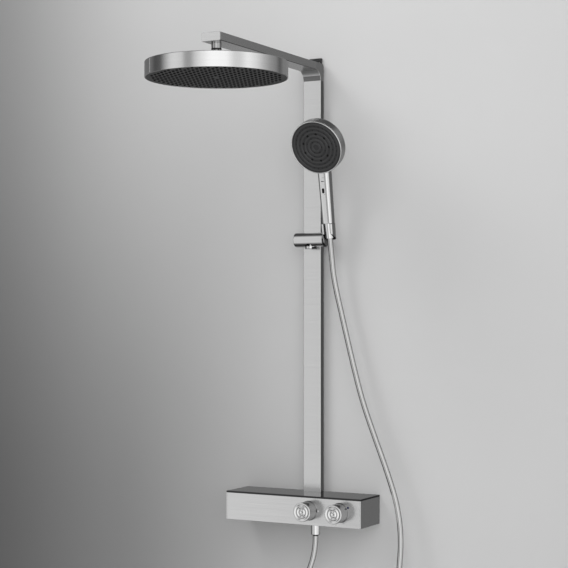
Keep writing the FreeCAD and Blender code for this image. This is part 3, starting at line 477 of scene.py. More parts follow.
def slab(low, high, soft, shape=None):
    """A box between two corners with softened edges."""
    shape = shape or bmesh.new()
    size = Vector(high) - Vector(low)
    middle = (Vector(high) + Vector(low)) / 2
    made = bmesh.ops.create_cube(shape, size=1.0)
    bmesh.ops.scale(shape, vec=size, verts=made["verts"])
    bmesh.ops.translate(shape, vec=middle, verts=made["verts"])
    soften(shape, list({edge for vert in made["verts"] for edge in vert.link_edges}), soft)
    return shape


def loft(rings, shape=None):
    """Joins rings of equal length into a closed skin."""
    shape = shape or bmesh.new()
    made = [[shape.verts.new(point) for point in ring] for ring in rings]
    count = len(made[0])
    for ring, other in zip(made, made[1:]):
        for step in range(count):
            after = (step + 1) % count
            shape.faces.new((ring[step], ring[after], other[after], other[step]))
    shape.faces.new(list(reversed(made[0])))
    shape.faces.new(made[-1])
    return shape


def round_rectangle(width, depth, radius, steps=6):
    x, y = width / 2, depth / 2
    return filleted([(-x, -y, radius), (x, -y, radius), (x, y, radius), (-x, y, radius)], steps)


# The hose


def hose_line():
    """Points along the smooth curve of the hose's route."""
    data = bpy.data.curves.new("hose_line", "CURVE")
    data.dimensions = "3D"
    data.resolution_u = 16
    spline = data.splines.new("NURBS")
    spline.points.add(len(HOSE_ROUTE) - 1)
    for point, spot in zip(spline.points, HOSE_ROUTE):
        point.co = (*spot, 1)
    spline.order_u = 3
    spline.use_endpoint_u = True
    thing = bpy.data.objects.new("hose_line", data)
    bpy.context.scene.collection.objects.link(thing)
    bpy.context.view_layer.update()
    evaluated = thing.evaluated_get(bpy.context.evaluated_depsgraph_get())
    mesh = bpy.data.meshes.new_from_object(evaluated)
    points = [vert.co.copy() for vert in mesh.vertices]
    bpy.data.objects.remove(thing)
    bpy.data.meshes.remove(mesh)
    return points


def hose_rings(points, sides=20):
    """A ring of points round each point of the line, carried along without twist."""
    rings = []
    side = Vector((1, 0, 0))
    for number, point in enumerate(points):
        ahead = points[min(number + 1, len(points) - 1)] - points[max(number - 1, 0)]
        ahead.normalize()
        side = (side - ahead * side.dot(ahead)).normalized()
        other = ahead.cross(side)
        rings.append([point + (side * along + other * up) * HOSE_RADIUS
                      for along, up in circle(sides)])
    return rings


def hose(look):
    """The hose in three stretches, cut where it passes two heights."""
    points = hose_line()
    rings = hose_rings(points)
    hand_end = next(n for n, point in enumerate(points) if point.z < HOSE_HAND_Z)
    slider_end = next(n for n, point in enumerate(points) if point.z < HOSE_SLIDER_Z)
    stretches = (
        ("hose_upper", 0, hand_end, "cradle", "hand_shower", ["hand_hose_nut"]),
        ("hose_middle", hand_end, slider_end, "slider", "cradle", []),
        ("hose_lower", slider_end, len(points) - 1, ROOT, "slider", ["outlet_hose_nut"]),
    )
    for name, first, last, low_body, high_body, fitting in stretches:
        shape = loft(rings[first:last + 1])
        made = hung(name, shape, look["hose"], "hose")


# Springs: node, the two bodies, fixed and pressed end, the coil's radius, its wire and its turns.
SPRINGS = (
    ("release_spring", ("slider", "release_button"), Vector((0.0055, -0.0403, 0.6346)),
     Vector((0.0055, -0.0403, 0.6180)), 3.5 * MM, 1.0 * MM, 6),
    ("stop_spring", ("temperature_knob", "stop_button"), Vector((0.1105, -0.1251, -0.0135)),
     Vector((0.1105, -0.1251, -0.0175)), 2.05 * MM, 0.5 * MM, 4),
    ("select_spring", ("hand_shower", "select_button"), HAND_FRAME @ Vector((0, -0.0089, 0.1230)),
     HAND_FRAME @ Vector((0, -0.0107, 0.1230)), 3.1 * MM, 0.3 * MM, 3),
)


def springs(look):
    """Coil springs behind the three push buttons."""
    turn_steps = 24
    sides = 8
    for node, bodies, fixed, pressed, radius, wire, turns in SPRINGS:
        run = pressed - fixed
        ahead = run.normalized()
        side = ahead.orthogonal().normalized()
        other = ahead.cross(side)
        rings = []
        for step in range(turns * turn_steps + 1):
            angle = 2 * math.pi * step / turn_steps
            out = side * math.cos(angle) + other * math.sin(angle)
            rise = wire / 2 + (run.length - wire) * step / (turns * turn_steps)
            centre = fixed + out * radius + ahead * rise
            rings.append([centre + (out * along + ahead * up) * wire / 2
                          for along, up in circle(sides)])
        hung(f"{node}_coil", loft(rings), look["dull_steel"], node)


# Shelf and controls


def shelf(look):
    """The shelf's front and floor, its end caps and its glass."""
    soft = 0.5 * MM
    sheet = 2 * MM
    low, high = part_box("shelf_housing")
    shape = slab(low, (high.x, low.y + sheet, high.z), soft)
    slab((low.x, low.y + sheet, low.z), (high.x, high.y, low.z + sheet), soft, shape)
    piece("shelf_front_and_floor", shape, look["steel_x"], ROOT, "brushed_metal", ["shelf_housing"])
    for node in ("left_end_cap", "right_end_cap"):
        piece(f"{node}_soft", slab(*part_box(node), soft), look["steel_y"], ROOT, "brushed_metal",
              [node])
    glass(look)


def glass(look):
    """The dark glass top, with the notch that the column stands in."""
    soft = 0.6 * MM
    notch_gap = 0.3 * MM
    low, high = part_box("glass_shelf")
    column_low, column_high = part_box("column_profile")
    left = column_low.x - notch_gap
    right = column_high.x + notch_gap
    back = column_low.y - notch_gap
    outline = [(low.x, low.y), (high.x, low.y), (high.x, high.y), (right, high.y), (right, back),
               (left, back), (left, high.y), (low.x, high.y)]
    shape = loft([[Vector((x, y, z)) for x, y in outline] for z in (low.z, high.z)])
    bmesh.ops.recalc_face_normals(shape, faces=shape.faces)
    soften(shape, list(shape.edges), soft)
    piece("glass_top", shape, look["glass"], ROOT, "shelf_glass", ["glass_shelf"])


# The dots beside the knobs: node, look, slot and radius.
MARKS = (
    ("volume_mark", "white_mark", "white_paint", 2.0 * MM),
    ("cold_mark", "blue_mark", "blue_paint", 2.4 * MM),
)
KNOB_RIBS = 60
RIB_STEPS = 6
RIB_DEPTH = 0.15 * MM
# Crests and troughs of the face's round waves from the edge inwards, as shares of the radius.
wave_shares = (0.90, 0.70, 0.545, 0.385, 0.225, 0.0)


def knob_outline(radius, length):
    """Half outline of a knob from its hollow back to the round waves on its face."""
    wall = 3 * MM
    hollow = 12 * MM
    relief = 1.4 * MM
    back_edge, front_edge = 0.4 * MM, 1.3 * MM
    points = filleted([(0, hollow, 0), (radius - wall, hollow, 0), (radius - wall, 0, 0),
                       (radius, 0, back_edge), (radius, length, front_edge), (0, length, 0)])[:-1]
    steps = 10
    for number, (first, last) in enumerate(zip(wave_shares, wave_shares[1:])):
        for step in range(1, steps + 1):
            sink = 0.5 - 0.5 * math.cos(math.pi * step / steps)
            sink = 1 - sink if number % 2 else sink
            share = first + (last - first) * step / steps
            points.append(Vector((radius * share, length - relief * sink)))
    return points


def knobs(look):
    """Two ribbed knobs with painted shade on their sides."""
    back_rim, front_rim = 2 * MM, 4 * MM
    near = 0.1 * MM
    shade_end = 1.5 * MM
    flat_share = 0.35
    for name in ("volume", "temperature"):
        low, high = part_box(f"{name}_knob")
        radius = (high.x - low.x) / 2
        length = high.y - low.y
        side_start, side_end = back_rim, length - front_rim

        def ribs(far, height, angle):
            if abs(far - radius) > near or not side_start < height < side_end:
                return far
            return far - RIB_DEPTH * (0.5 + 0.5 * math.cos(KNOB_RIBS * angle))

        outline = [tuple(point) for point in knob_outline(radius, length)]
        side = [(radius, side_start + (side_end - side_start) * step / RIB_STEPS)
                for step in range(1, RIB_STEPS)]
        after = next(n for n, point in enumerate(outline) if point[1] > side_end)
        shape = bmesh.new()
        lathe(shape, outline[:after] + side + outline[after:], KNOB_RIBS * RIB_STEPS, ribs)
        grip = piece(f"{name}_grip", shape, look["knob"], f"{name}_knob", "plated_brass",
                     [f"{name}_knob"], centred(low, high, "X", y=high.y))
        # The sides get painted shade.
        tint(grip, look["knob_painted_shade_side"],
             lambda normal, spot: abs(normal.z) < flat_share and spot.z < length - shade_end)


def marks(look):
    """The raised dots beside the knobs."""
    soft = 0.45 * MM
    for node, colour, slot, radius in MARKS:
        low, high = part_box(node)
        rise = high.y - low.y
        outline = [(0, 0, 0), (radius, 0, 0), (radius, rise, soft), (0, rise, 0)]
        turned(f"{node}_dot", outline, 6, 40, look[colour], ROOT, slot, [node],
               centred(low, high, "X", y=high.y))


# Column, elbow and arm

BAR_SOFT = 1.0 * MM
ARM_SOFT = 1.5 * MM
BAR_SEAM = 0.25 * MM


def bar(name, sections, material, replaces, seams=(True, True), soft=BAR_SOFT):
    """A bar through sections of width, depth and a matrix, drawn in where an end shows a seam."""
    rings = []
    ends = [number for number, seam in zip((0, len(sections) - 1), seams) if seam]
    for number, (width, depth, matrix) in enumerate(sections):
        inset = 2 * BAR_SEAM if number in ends else 0
        outline = round_rectangle(width - inset, depth - inset, soft)
        rings.append([matrix @ Vector((x, y, 0)) for x, y in outline])
    return piece(name, loft(rings), material, ROOT, "brushed_metal", [replaces])


def seamed(first, last):
    """Places along a bar, with one close to either end where the seam's slope stops."""
    step = BAR_SEAM if last > first else -BAR_SEAM
    return (first, first + step, last - step, last)


def elbow_reach(angle, deep, tall, corner):
    """How far the elbow's outside is from the bend's centre along a ray."""
    ray = Vector((math.cos(angle), math.sin(angle)))
    middle = Vector((deep - corner, tall - corner))
    along = ray.dot(middle)
    hit = ray * (along + math.sqrt(max(along ** 2 - middle.length_squared + corner ** 2, 0)))
    if hit.x > middle.x and hit.y > middle.y:
        return hit.length
    return min(deep / max(ray.x, 1e-6), tall / max(ray.y, 1e-6))


def column(look):
    """The column's flat bar, with painted shade on its sides."""
    side_share = 0.9
    low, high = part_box("column_profile")
    middle_y = (low.y + high.y) / 2
    sections = [(high.x - low.x, high.y - low.y, Matrix.Translation((0, middle_y, z)))
                for z in seamed(low.z, high.z)]
    upright = bar("column_bar", sections, look["steel_x"], "column_profile")
    tint(upright, look["shaded_steel"], lambda normal, spot: abs(normal.x) > side_share)


def arm(look):
    """The arm, painted light, and its end cap, with painted shade along the lower right edge."""
    low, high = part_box("arm_profile")
    middle_z = (low.z + high.z) / 2
    lay_down = Matrix.Rotation(math.radians(90), 4, "X")
    slant_share = 0.15

    def sections(first, last):
        return [(high.x - low.x, high.z - low.z, Matrix.Translation((0, y, middle_z)) @ lay_down)
                for y in seamed(first, last)]

    outwards = bar("arm_bar", sections(high.y, low.y), look["arm_painted_light_steel"], "arm_profile",
                   (False, True), ARM_SOFT)
    tip = bar("arm_tip", sections(low.y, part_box("arm_end_cap")[0].y), look["steel_x"],
              "arm_end_cap", soft=ARM_SOFT)
    # The lower right edge gets painted shade.
    for made in (outwards, tip):
        tint(made, look["edge_painted_shade_steel"],
             lambda normal, spot: normal.x > slant_share and normal.z < -slant_share)


def elbow(look):
    """The bend from column to arm, its inner face painted shade below and painted light above."""
    low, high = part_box("column_profile")
    arm_low, arm_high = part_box("arm_profile")
    width = high.x - low.x
    depth = high.y - low.y
    thick = arm_high.z - arm_low.z
    centre = Vector((0, arm_high.y, high.z))
    inner = low.y - arm_high.y
    corner = 6 * MM
    steps = 48
    small = BAR_SEAM / inner
    angles = [0, small] + [math.pi / 2 * step / steps for step in range(1, steps)]
    angles += [math.pi / 2 - small, math.pi / 2]
    sections = []
    for angle in angles:
        outer = elbow_reach(angle, inner + depth, inner + thick, corner)
        matrix = Matrix.Translation(centre) @ Matrix.Rotation(angle, 4, "X")
        matrix = matrix @ Matrix.Translation((0, (inner + outer) / 2, 0))
        sections.append((width, outer - inner, matrix))
    bend = bar("elbow_bend", sections, look["steel_x"], "elbow", (True, False))
    near = 0.3 * MM
    dark_share, pale_share = 0.5, 0.98

    def inside(spot, share):
        spot = spot - centre
        return math.hypot(spot.y, spot.z) < inner + near and spot.z < inner * share

    # The inner face's lower half gets painted shade and its upper half painted light.
    tint(bend, look["bend_painted_shade_steel"], lambda normal, spot: inside(spot, dark_share))
    tint(bend, look["bend_painted_light_steel"], lambda normal, spot: inside(spot, pale_share))


# Overhead disc

NOZZLE_PITCH = 16.5 * MM
NOZZLE_FIELD = 0.1400
NOZZLE_RISE = 1.8 * MM
NOZZLE_FOOT = 3.3 * MM
NOZZLE_TIP = 2.4 * MM
NOZZLE_HOLE = 0.8 * MM
NOZZLE_TURN = math.radians(2.2)
SEAM_TURN = math.radians(-34)
NECK_FOOT_Z = 1.0006


def nozzle(shape, x, y, rise, foot=NOZZLE_FOOT, tip=NOZZLE_TIP, hole=NOZZLE_HOLE, sides=10):
    """A small rubber nozzle that stands on a face and points along +Z by rise."""
    levels = ((foot, 0), (tip, rise * 0.8), (tip * 0.8, rise), (hole, rise), (hole, rise * 0.2))
    loft([[Vector((x + radius * along, y + radius * up, height)) for along, up in circle(sides)]
          for radius, height in levels], shape)


def overhead(look):
    """The overhead disc: its shell, the ridge of its seam, its spray face and the nozzles."""
    body = "overhead_head"
    low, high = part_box("head_shell")
    plate_low, plate_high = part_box("spray_plate")
    radius = (high.x - low.x) / 2
    inside = (plate_high.x - plate_low.x) / 2
    height = high.z - low.z
    sheet = 2 * MM
    at = centred(low, high, z=low.z)
    turned("overhead_shell", [(0, height, 0), (0, height - sheet, 0), (inside, height - sheet, 0),
                              (inside, 0, 0.4 * MM), (radius, 0, 0.8 * MM),
                              (radius, height, 1.6 * MM)], 5, 256,
           look["steel_round"], body, "brushed_metal", ["head_shell"], at)

    seam = 0.7 * MM
    sunk = -radius + 0.5 * MM
    foot, top = 1.2 * MM, height - 2 * MM
    section = ((-seam, sunk), (-seam, -radius), (0, -radius - seam), (seam, -radius), (seam, sunk))
    shape = loft([[Vector((x, y, rise)) for x, y in section] for rise in (foot, top)])
    piece("overhead_seam", shape, look["steel_z"], body, "brushed_metal", (),
          at @ Matrix.Rotation(SEAM_TURN, 4, "Z"))

    recess = plate_low.z - low.z
    thick = plate_high.z - plate_low.z
    lip = 6 * MM
    dish = 0.35 * MM
    soft = 0.3 * MM
    turned("overhead_face", [(0, recess + thick, 0), (0, recess + dish, 0),
                             (inside - lip - 2 * dish, recess + dish, soft),
                             (inside - lip, recess, soft), (inside, recess, soft),
                             (inside, recess + thick, 0)], 5, 192,
           look["spray_face"], body, "spray_face_plastic", ["spray_plate"], at)

    shape = bmesh.new()
    count = int(NOZZLE_FIELD / NOZZLE_PITCH) + 4
    turn = Matrix.Rotation(NOZZLE_TURN, 2)
    row = NOZZLE_PITCH * math.sqrt(0.75)
    for line in range(-count, count + 1):
        for place in range(-count, count + 1):
            spot = turn @ Vector((line * row, (place + 0.5 * (line % 2)) * NOZZLE_PITCH))
            if 0 < spot.length < NOZZLE_FIELD:
                nozzle(shape, spot.x, spot.y, NOZZLE_RISE)
    down = at @ Matrix.Translation((0, 0, recess + dish)) @ Matrix.Rotation(math.pi, 4, "X")
    piece("overhead_nozzles", shape, look["black_rubber"], body, "seal_rubber", (), down)


def neck_shadow_ring(look):
    """The dark ring at the foot of the ball stud's neck: painted shadow of the joint's gap."""
    inside, outside = 9.5 * MM, 10.75 * MM
    height = 2.4 * MM
    soft = 0.2 * MM
    turned("neck_shadow_ring", [(inside, 0, 0), (outside, 0, soft), (outside, height, soft),
                          (inside, height, 0)], 4, 96,
           look["black_rubber"], "head_swivel", "seal_rubber", (),
           centred(*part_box("ball_stud"), z=NECK_FOOT_Z))


# Hand shower

# Nozzles on the spray face: the ring, how many, and the radius of their foot in millimetres.
HAND_NOZZLES = ((2, 6, 1.3), (3, 8, 1.3), (4, 9, 2.9), (5, 18, 1.3), (6, 30, 1.3))


def hand_shower(look):
    """The hand shower's head, with its face, handle and button."""
    body = "hand_shower"
    radius = 62.5 * MM
    thick = 27 * MM
    trim = 2.2 * MM
    trim_depth = 3 * MM
    wall = 2 * MM
    turned("hand_lid", [(0, thick, 0), (0, thick - wall, 0), (radius - wall, thick - wall, 0),
                        (radius - wall, trim_depth, 0), (radius, trim_depth, 0.2 * MM),
                        (radius, thick, 4.5 * MM)], 8, 192,
           look["steel_round"], body, "plated_plastic", ["hand_shell"], HEAD_FRAME)
    turned("hand_rim", [(radius - trim, trim_depth, 0), (radius - trim, 0, 0.5 * MM),
                        (radius, 0, 0.9 * MM), (radius, trim_depth, 0.2 * MM)], 5, 192,
           look["steel_round"], body, "plated_plastic", ["hand_trim_ring"], HEAD_FRAME)
    hand_face(look, radius - trim)
    handle(look)
    select_button(look)


def hand_face(look, radius):
    """The dark spray face, with shallow rings and small nozzles between them."""
    body = "hand_shower"
    recess = 0.5 * MM
    thick = 3 * MM
    groove = 0.75 * MM
    soft = 0.5 * MM
    ring_count = 6
    pitch = radius / (ring_count + 0.6)
    half = pitch * 0.27
    floor = recess + groove
    points = [(0, recess + thick, 0), (0, floor, 0)]
    for number in range(1, ring_count + 1):
        middle = pitch * number
        points += [(middle - half, floor, soft), (middle - half * 0.7, recess, soft),
                   (middle + half * 0.7, recess, soft), (middle + half, floor, soft)]
    points += [(radius, floor, 0.2 * MM), (radius, recess + thick, 0)]
    plate = turned("hand_face", points, 4, 160, look["hand_face"], body, "hand_face_plastic",
                   ["hand_spray_face"], HEAD_FRAME)
    tint(plate, look["hand_rings"], lambda normal, spot: spot.z < recess + 0.4 * groove)

    shape = bmesh.new()
    hole = 0.4 * MM
    for number, count, foot in HAND_NOZZLES:
        for step in range(count):
            angle = 2 * math.pi * (step + 0.5 * (number % 2)) / count
            far = pitch * (number - 0.5)
            nozzle(shape, far * math.cos(angle), far * math.sin(angle), groove * 0.9,
                   foot * MM, foot * 0.75 * MM, hole)
    front = HEAD_FRAME @ Matrix.Translation((0, 0, floor)) @ Matrix.Rotation(math.pi, 4, "X")
    piece("hand_nozzles", shape, look["black_rubber"], body, "seal_rubber", (), front)


def stadium(width, height, front, back, z, soft, steps=48):
    """A plate with round ends in the hand shower's frame, softened at its front edge."""
    reach = height / 2 - width / 2
    rings = []
    for inset, y in ((soft, front), (soft * 0.3, front + soft * 0.3), (0, front + soft), (0, back)):
        radius = width / 2 - inset
        ring = []
        for step in range(steps):
            angle = 2 * math.pi * (step + 0.5) / steps
            end = reach if math.sin(angle) > 0 else -reach
            ring.append(Vector((radius * math.cos(angle), y, z + end + radius * math.sin(angle))))
        rings.append(ring)
    return loft(rings)


def select_button(look):
    """The handle's long button, with its dark oval press mark and a painted shadow line above it.
    """
    body = "select_button"
    front, back = -14.7 * MM, -10.8 * MM
    low, high = 103 * MM, 143 * MM
    shape = stadium(8 * MM, high - low, front, back, (low + high) / 2, 0.7 * MM)
    piece("select_bar", shape, look["plated"], body, "plated_plastic", ["select_button"],
          HAND_FRAME)

    mark_back = front + 1.7 * MM
    # A black line where a small rise on the button casts its shadow: painted shadow.
    shadow_line_half = 3.4 * MM
    shadow_line_low, shadow_line_high = high - 10 * MM, high - 8.3 * MM
    shape = stadium(6.2 * MM, 11.8 * MM, front - 0.35 * MM, mark_back, low + 9.5 * MM, 0.3 * MM)
    shadow_line_front = front - 0.2 * MM
    slab((-shadow_line_half, shadow_line_front, shadow_line_low), (shadow_line_half, mark_back, shadow_line_high), 0.1 * MM, shape)
    piece("select_mark_and_shadow_line", shape, look["black_rubber"], body, "seal_rubber", (), HAND_FRAME)


def arc(x, y, radius, start, end, steps):
    """Points round a centre, from straight below it at zero and then to its right."""
    angles = [start + (end - start) * step / steps for step in range(steps + 1)]
    return [Vector((x + radius * math.sin(angle), y - radius * math.cos(angle)))
            for angle in angles]


def handle_outline(width, depth, corner):
    """The handle's section: a flat front that curves slowly, then tightly, into flat sides."""
    x, y = width / 2, depth / 2
    flat = width * 0.10
    slow = 27 * MM
    turn = math.radians(10)
    side = math.radians(90)
    edge = flat + slow * math.sin(turn)
    tight = (x - edge) / (1 - math.sin(turn))
    rise = slow - (slow - tight) * math.cos(turn)
    right = arc(flat, slow - y, slow, 0, turn, 6)
    right += arc(x - tight, rise - y, tight, turn, side, 12)[1:]
    right += arc(x - corner, y - corner, corner, side, 2 * side, 8)
    return right + [Vector((-point.x, point.y)) for point in reversed(right)]


def handle(look):
    """The handle: sections from the hose's nut up to the back of the head."""
    foot = 36.5 * MM
    top = foot + 116 * MM
    # Height, then width, depth, shift forwards and corner radius in millimetres.
    sections = (
        (foot, 23.7, 23.2, 0, 5.5),
        (foot + 0.4 * MM, 24.5, 24, 0, 6),
        (foot + 30 * MM, 25.4, 24.8, 0, 6.3),
        (foot + 75 * MM, 26.8, 26, 0, 6.6),
        (top, 28, 27, 0, 7),
        (top + 9 * MM, 28, 23.6, -2.1, 6.6),
        (top + 18 * MM, 28, 20.2, -4.2, 6),
        (top + 27 * MM, 28, 16.8, -6.3, 5.4),
        (top + 34 * MM, 28, 14, -8, 5),
    )
    rings = []
    for rise, width, depth, shift, corner in sections:
        outline = handle_outline(width * MM, depth * MM, corner * MM)
        rings.append([Vector((x, y + shift * MM, rise)) for x, y in outline])
    piece("hand_handle", loft(rings), look["plated"], "hand_shower", "plated_plastic", (),
          HAND_FRAME, HANDLE_SHARP)


# Slider


def slider(look):
    """The slider's rounded left end."""
    low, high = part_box("slider_end_cap")
    radius = (high.z - low.z) / 2
    dome = 3.2 * MM
    turned("slider_tip", [(0, 0, 0), (radius, 0, dome), (radius, dome, 0), (0, dome, 0)], 8, 96,
           look["steel_x"], "slider", "plated_plastic", ["slider_end_cap"],
           centred(low, high, "Y", x=low.x))


def release_grips(look):
    """Two rubber pads on the release button's side."""
    low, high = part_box("release_button")
    radius = (high.x - low.x) / 2
    bottom, top = 0.3 * MM, 4.8 * MM
    sink, proud, soft = 0.4 * MM, 0.12 * MM, 0.1 * MM
    span = 68
    steps = 16
    shape = bmesh.new()
    for start in (36, 216):
        rings = []
        for step in range(steps + 1):
            angle = math.radians(start + span * step / steps)
            inset = soft if step in (0, steps) else 0
            far = radius + proud - inset
            outline = ((radius - sink, bottom), (far - soft, bottom), (far, bottom + soft),
                       (far, top - soft), (far - soft, top), (radius - sink, top))
            rings.append([Vector((out * math.sin(angle), -out * math.cos(angle), rise))
                          for out, rise in outline])
        loft(rings, shape)
    piece("release_grip", shape, look["black_rubber"], "release_button", "seal_rubber", (),
          centred(low, high, z=low.z))


def sleeve_ring(outer, inner, slot, height):
    """A squared ring, open at the front, whose height follows a slope from front to back."""
    tight = 3.5 * MM
    wide = outer - 1.5 * MM
    inside = inner - 1.5 * MM
    left = outer - 1.2 * MM
    lip = slot - 2 * MM
    outline = filleted([(slot, -outer, 0), (outer, -outer, tight), (outer, outer, wide),
                        (-left, outer, wide), (-left, -outer, tight), (-lip, -outer, 0),
                        (-lip, -inner, 0), (-inner, -inner, tight), (-inner, inner, inside),
                        (inner, inner, inside), (inner, -inner, tight), (slot, -inner, 0)], 8)
    return [Vector((x, y, height(y))) for x, y in outline]


def cradle(look):
    """The tilting holder: a squared sleeve, open at its front, on a hub beside the slider."""
    slot = 9.2 * MM
    top = 36 * MM
    middle = 15 * MM
    front_rise = 12.5 * MM
    back_drop = 4.5 * MM
    reach = 29 * MM
    soft = 0.45 * MM
    shaded_inside_reach = 14.2 * MM
    under_share = 0.5
    sharp = math.radians(50)

    def foot(y):
        return (front_rise + back_drop) * (0.5 - y / reach) - back_drop

    shape = loft([sleeve_ring(13.9 * MM, 12.3 * MM, slot, foot),
                  sleeve_ring(14.1 * MM, 12.4 * MM, slot, lambda y: middle),
                  sleeve_ring(14.5 * MM, 12.5 * MM, slot, lambda y: top)])
    bmesh.ops.recalc_face_normals(shape, faces=shape.faces)
    shape.normal_update()
    edges = [edge for edge in shape.edges if edge.calc_face_angle(0) > sharp]
    soften(shape, edges, soft, 2)
    sleeve = piece("cradle_sleeve", shape, look["plated"], "cradle", "plated_plastic", ["cradle"],
                   HAND_FRAME)

    # The sleeve's inside walls, which get painted shade.
    def shaded_inside(normal, spot):
        return spot.xy.dot(normal.xy) < 0 and spot.xy.length < shaded_inside_reach

    # Undersides and the lower inside are painted black: painted shade.
    def dark(normal, spot):
        return normal.z < -under_share or (shaded_inside(normal, spot) and spot.z < middle)

    tint(sleeve, look["black_plastic"], dark)
    tint(sleeve, look["shaded_steel"], shaded_inside)

    # The hub and the bridge are in darker steel: painted shade.
    radius, bore = 14.5 * MM, 4.1 * MM
    thick = 3.4 * MM
    at = centred(*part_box("slider_pivot_plate"), "Y", x=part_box("cradle")[0].x)
    turned("cradle_hub", [(bore, 0, 0), (radius, 0, 0.3 * MM), (radius, thick, 0.8 * MM),
                          (bore, thick, 0)], 5, 96,
           look["shaded_steel"], "cradle", "plated_plastic", ["cradle"], at)
    shape = slab((-15.4 * MM, -8 * MM, 1 * MM), (-12.6 * MM, 8 * MM, 34 * MM), soft)
    piece("cradle_bridge", shape, look["shaded_steel"], "cradle", "plated_plastic", ["cradle"],
          HAND_FRAME)


# CAD pieces that keep their own shape, apart from those in plain brushed steel

CAD_LOOKS = {
    # The knob rosettes are darkened: painted shade.
    "shaded_steel": ["knob_rosettes"],
    # The ball stud's neck is darkened: painted shade.
    "neck": ["ball_stud"],
    "polished": ["swivel_collar", "hand_hose_nut", "outlet_hose_nut"],
    "dull_steel": ["wall_plate", "inlet_filters", "flow_strainer", "head_screws"],
    "brass": ["mixer_body", "inlet_unions", "union_nuts", "outlet_nipple", "cartridge_nuts",
              "volume_spindle", "temperature_spindle"],
    "black_plastic": ["upper_wall_bracket", "slider_carriage", "ball_seat", "glide_pads",
                      "slider_pivot_plate"],
    "pale_plastic": ["diverter_cartridge", "thermostatic_cartridge", "water_chamber",
                     "spray_distributor", "hand_waterway", "column_foot", "riser_tube"],
    "black_rubber": ["brake_shoe", "nozzle_mat", "hand_nozzle_mat", "outlet_washer", "hand_washer"],
}


def cad_pieces(look):
    """Gives every CAD piece its look."""
    chosen = {node: name for name, nodes in CAD_LOOKS.items() for node in nodes}
    for node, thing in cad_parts.items():
        material = look[chosen.get(node, "steel_x")]
        for place in thing.material_slots:
            place.material = material


# Stage and light

# The wall's tones are painted light and shade; the floor is even.
# Tones of the wall's left side below and above, of its right side and of the floor.
WALL_LEFT = (0.28, 0.60)
WALL_RIGHT = 0.72
FLOOR_TONE = 0.66
# Where the wall turns from left to right, where its left side grows paler, and where it fades out.
WALL_TURN = (-0.58, 0.24)
WALL_RISE = (-0.15, 1.35)
WALL_FADE = (-1.1, -0.38)
FADE_TONE = 0.4


def painted_wall_light(shader, place):
    """Painted light and shade: pale to the right, and darker to the left and below."""
    x, y, z = shader.axes(place)
    blend = shader.add("ShaderNodeMix", {3: WALL_RIGHT}, data_type="FLOAT")
    shader.link(shader.spread(x, *WALL_TURN, 0, 1), blend, 0)
    shader.link(shader.spread(z, *WALL_RISE, *WALL_LEFT), blend, 2)
    return shader.maths("MULTIPLY", blend.outputs[0], shader.spread(x, *WALL_FADE, FADE_TONE, 1))


def stage():
    """A grey wall and a pale floor that are seen only from the room's side."""
    floor_z = -0.62
    reach = 4.0
    height = 3.0
    wall_gap = 1.0 * MM
    foot = (wall_gap, floor_z)
    sheets = (("wall", foot, (wall_gap, height)), ("floor", (-reach, floor_z), foot))
    for name, first, last in sheets:
        points = [(-reach, *first), (reach, *first), (reach, *last), (-reach, *last)]
        mesh = bpy.data.meshes.new(name)
        mesh.from_pydata(points, [], [(0, 1, 2, 3)])
        made = bpy.data.objects.new(name, mesh)
        bpy.context.scene.collection.objects.link(made)
        shader = Shader(f"stage_{name}", Roughness=0.9)
        place = shader.place()
        grain = shader.ramp(shader.noise(place, (3, 3, 3)), 0.99, 1.01)
        tone = painted_wall_light(shader, place) if name == "wall" else FLOOR_TONE
        shader.to_surface(shader.maths("MULTIPLY", tone, grain), "Base Color")
        clear = shader.add("ShaderNodeBsdfTransparent")
        mix = shader.add("ShaderNodeMixShader")
        side = shader.add("ShaderNodeNewGeometry")
        shader.link(side.outputs["Backfacing"], mix, 0)
        shader.link(shader.surface.outputs["BSDF"], mix, 1)
        shader.link(clear.outputs["BSDF"], mix, 2)
        shader.link(mix.outputs["Shader"], shader.output, "Surface")
        mesh.materials.append(shader.material)
        made.visible_glossy = False


# Radiance of the studio round the part: degrees from the front towards the right, and level.
STUDIO = (
    (-180, 0.26), (-151, 0.30), (-122, 0.19), (-108, 0.20), (-96, 0.23), (-84, 0.10),
    (-68, 0.14), (-56, 0.62), (-46, 1.00), (-36, 1.02), (-25, 0.90), (-19, 0.48),
    (-10, 0.48), (-4, 0.85), (4, 1.10), (22, 1.55), (47, 1.50), (60, 0.98), (69, 0.98),
    (82, 1.38), (98, 1.08), (112, 0.70), (126, 0.46), (142, 0.32), (152, 0.13), (166, 0.29),
    (180, 0.26),
)
STUDIO_LEVEL = 1.6
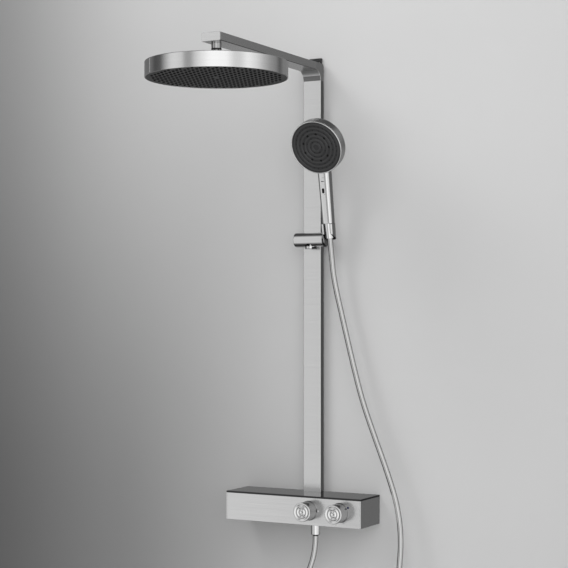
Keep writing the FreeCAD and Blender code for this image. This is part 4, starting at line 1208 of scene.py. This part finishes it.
# Heights of a ray between which the studio darkens, above and below, and the levels there.
DARK_ABOVE = (0.60, 0.85, 1.0, 0.30)
DARK_BELOW = (-0.90, -0.55, 0.20, 1.0)
LAMP_AT = Vector((-1.3, -2.3, 2.7))
LAMP_AIM = Vector((0.1, 0, 0.4))
LAMP_SIZE = 1.4
LAMP_ENERGY = 22


def studio():
    """The world: soft panels round the part at eye level, darker above and below."""
    world = bpy.data.worlds.new("studio")
    nodes = Nodes(world)
    x, y, z = nodes.axes(nodes.place("Generated"))
    turn = nodes.maths("ARCTAN2", x, nodes.maths("MULTIPLY", y, -1))
    share = nodes.maths("ADD", nodes.maths("DIVIDE", turn, 2 * math.pi), 0.5)
    panels = nodes.add("ShaderNodeValToRGB")
    ramp = panels.color_ramp
    while len(ramp.elements) < len(STUDIO):
        ramp.elements.new(0.5)
    for element, (angle, level) in zip(ramp.elements, STUDIO):
        element.position = (angle + 180) / 360
        element.color = (level / STUDIO_LEVEL,) * 3 + (1,)
    nodes.link(share, panels, "Fac")
    heights = nodes.maths("MULTIPLY", nodes.spread(z, *DARK_ABOVE), nodes.spread(z, *DARK_BELOW))
    sky = nodes.add("ShaderNodeBackground")
    nodes.link(panels.outputs["Color"], sky, "Color")
    nodes.link(nodes.maths("MULTIPLY", heights, STUDIO_LEVEL), sky, "Strength")
    output = nodes.add("ShaderNodeOutputWorld")
    nodes.link(sky.outputs["Background"], output, "Surface")
    bpy.context.scene.world = world


def lamp():
    """A large soft lamp above and to the left, for gentle shadows on the wall."""
    data = bpy.data.lights.new("soft_lamp", "AREA")
    data.shape = "RECTANGLE"
    data.size = data.size_y = LAMP_SIZE
    data.energy = LAMP_ENERGY
    made = bpy.data.objects.new("soft_lamp", data)
    made.location = LAMP_AT
    made.rotation_euler = (LAMP_AIM - LAMP_AT).to_track_quat("-Z", "Y").to_euler()
    made.visible_glossy = False
    bpy.context.scene.collection.objects.link(made)


camera()
look = materials()
hose(look)
springs(look)
cad_pieces(look)
shelf(look)
knobs(look)
marks(look)
column(look)
arm(look)
elbow(look)
overhead(look)
neck_shadow_ring(look)
hand_shower(look)
slider(look)
release_grips(look)
cradle(look)
stage()
studio()
lamp()
bpy.context.scene.view_settings.view_transform = "Standard"
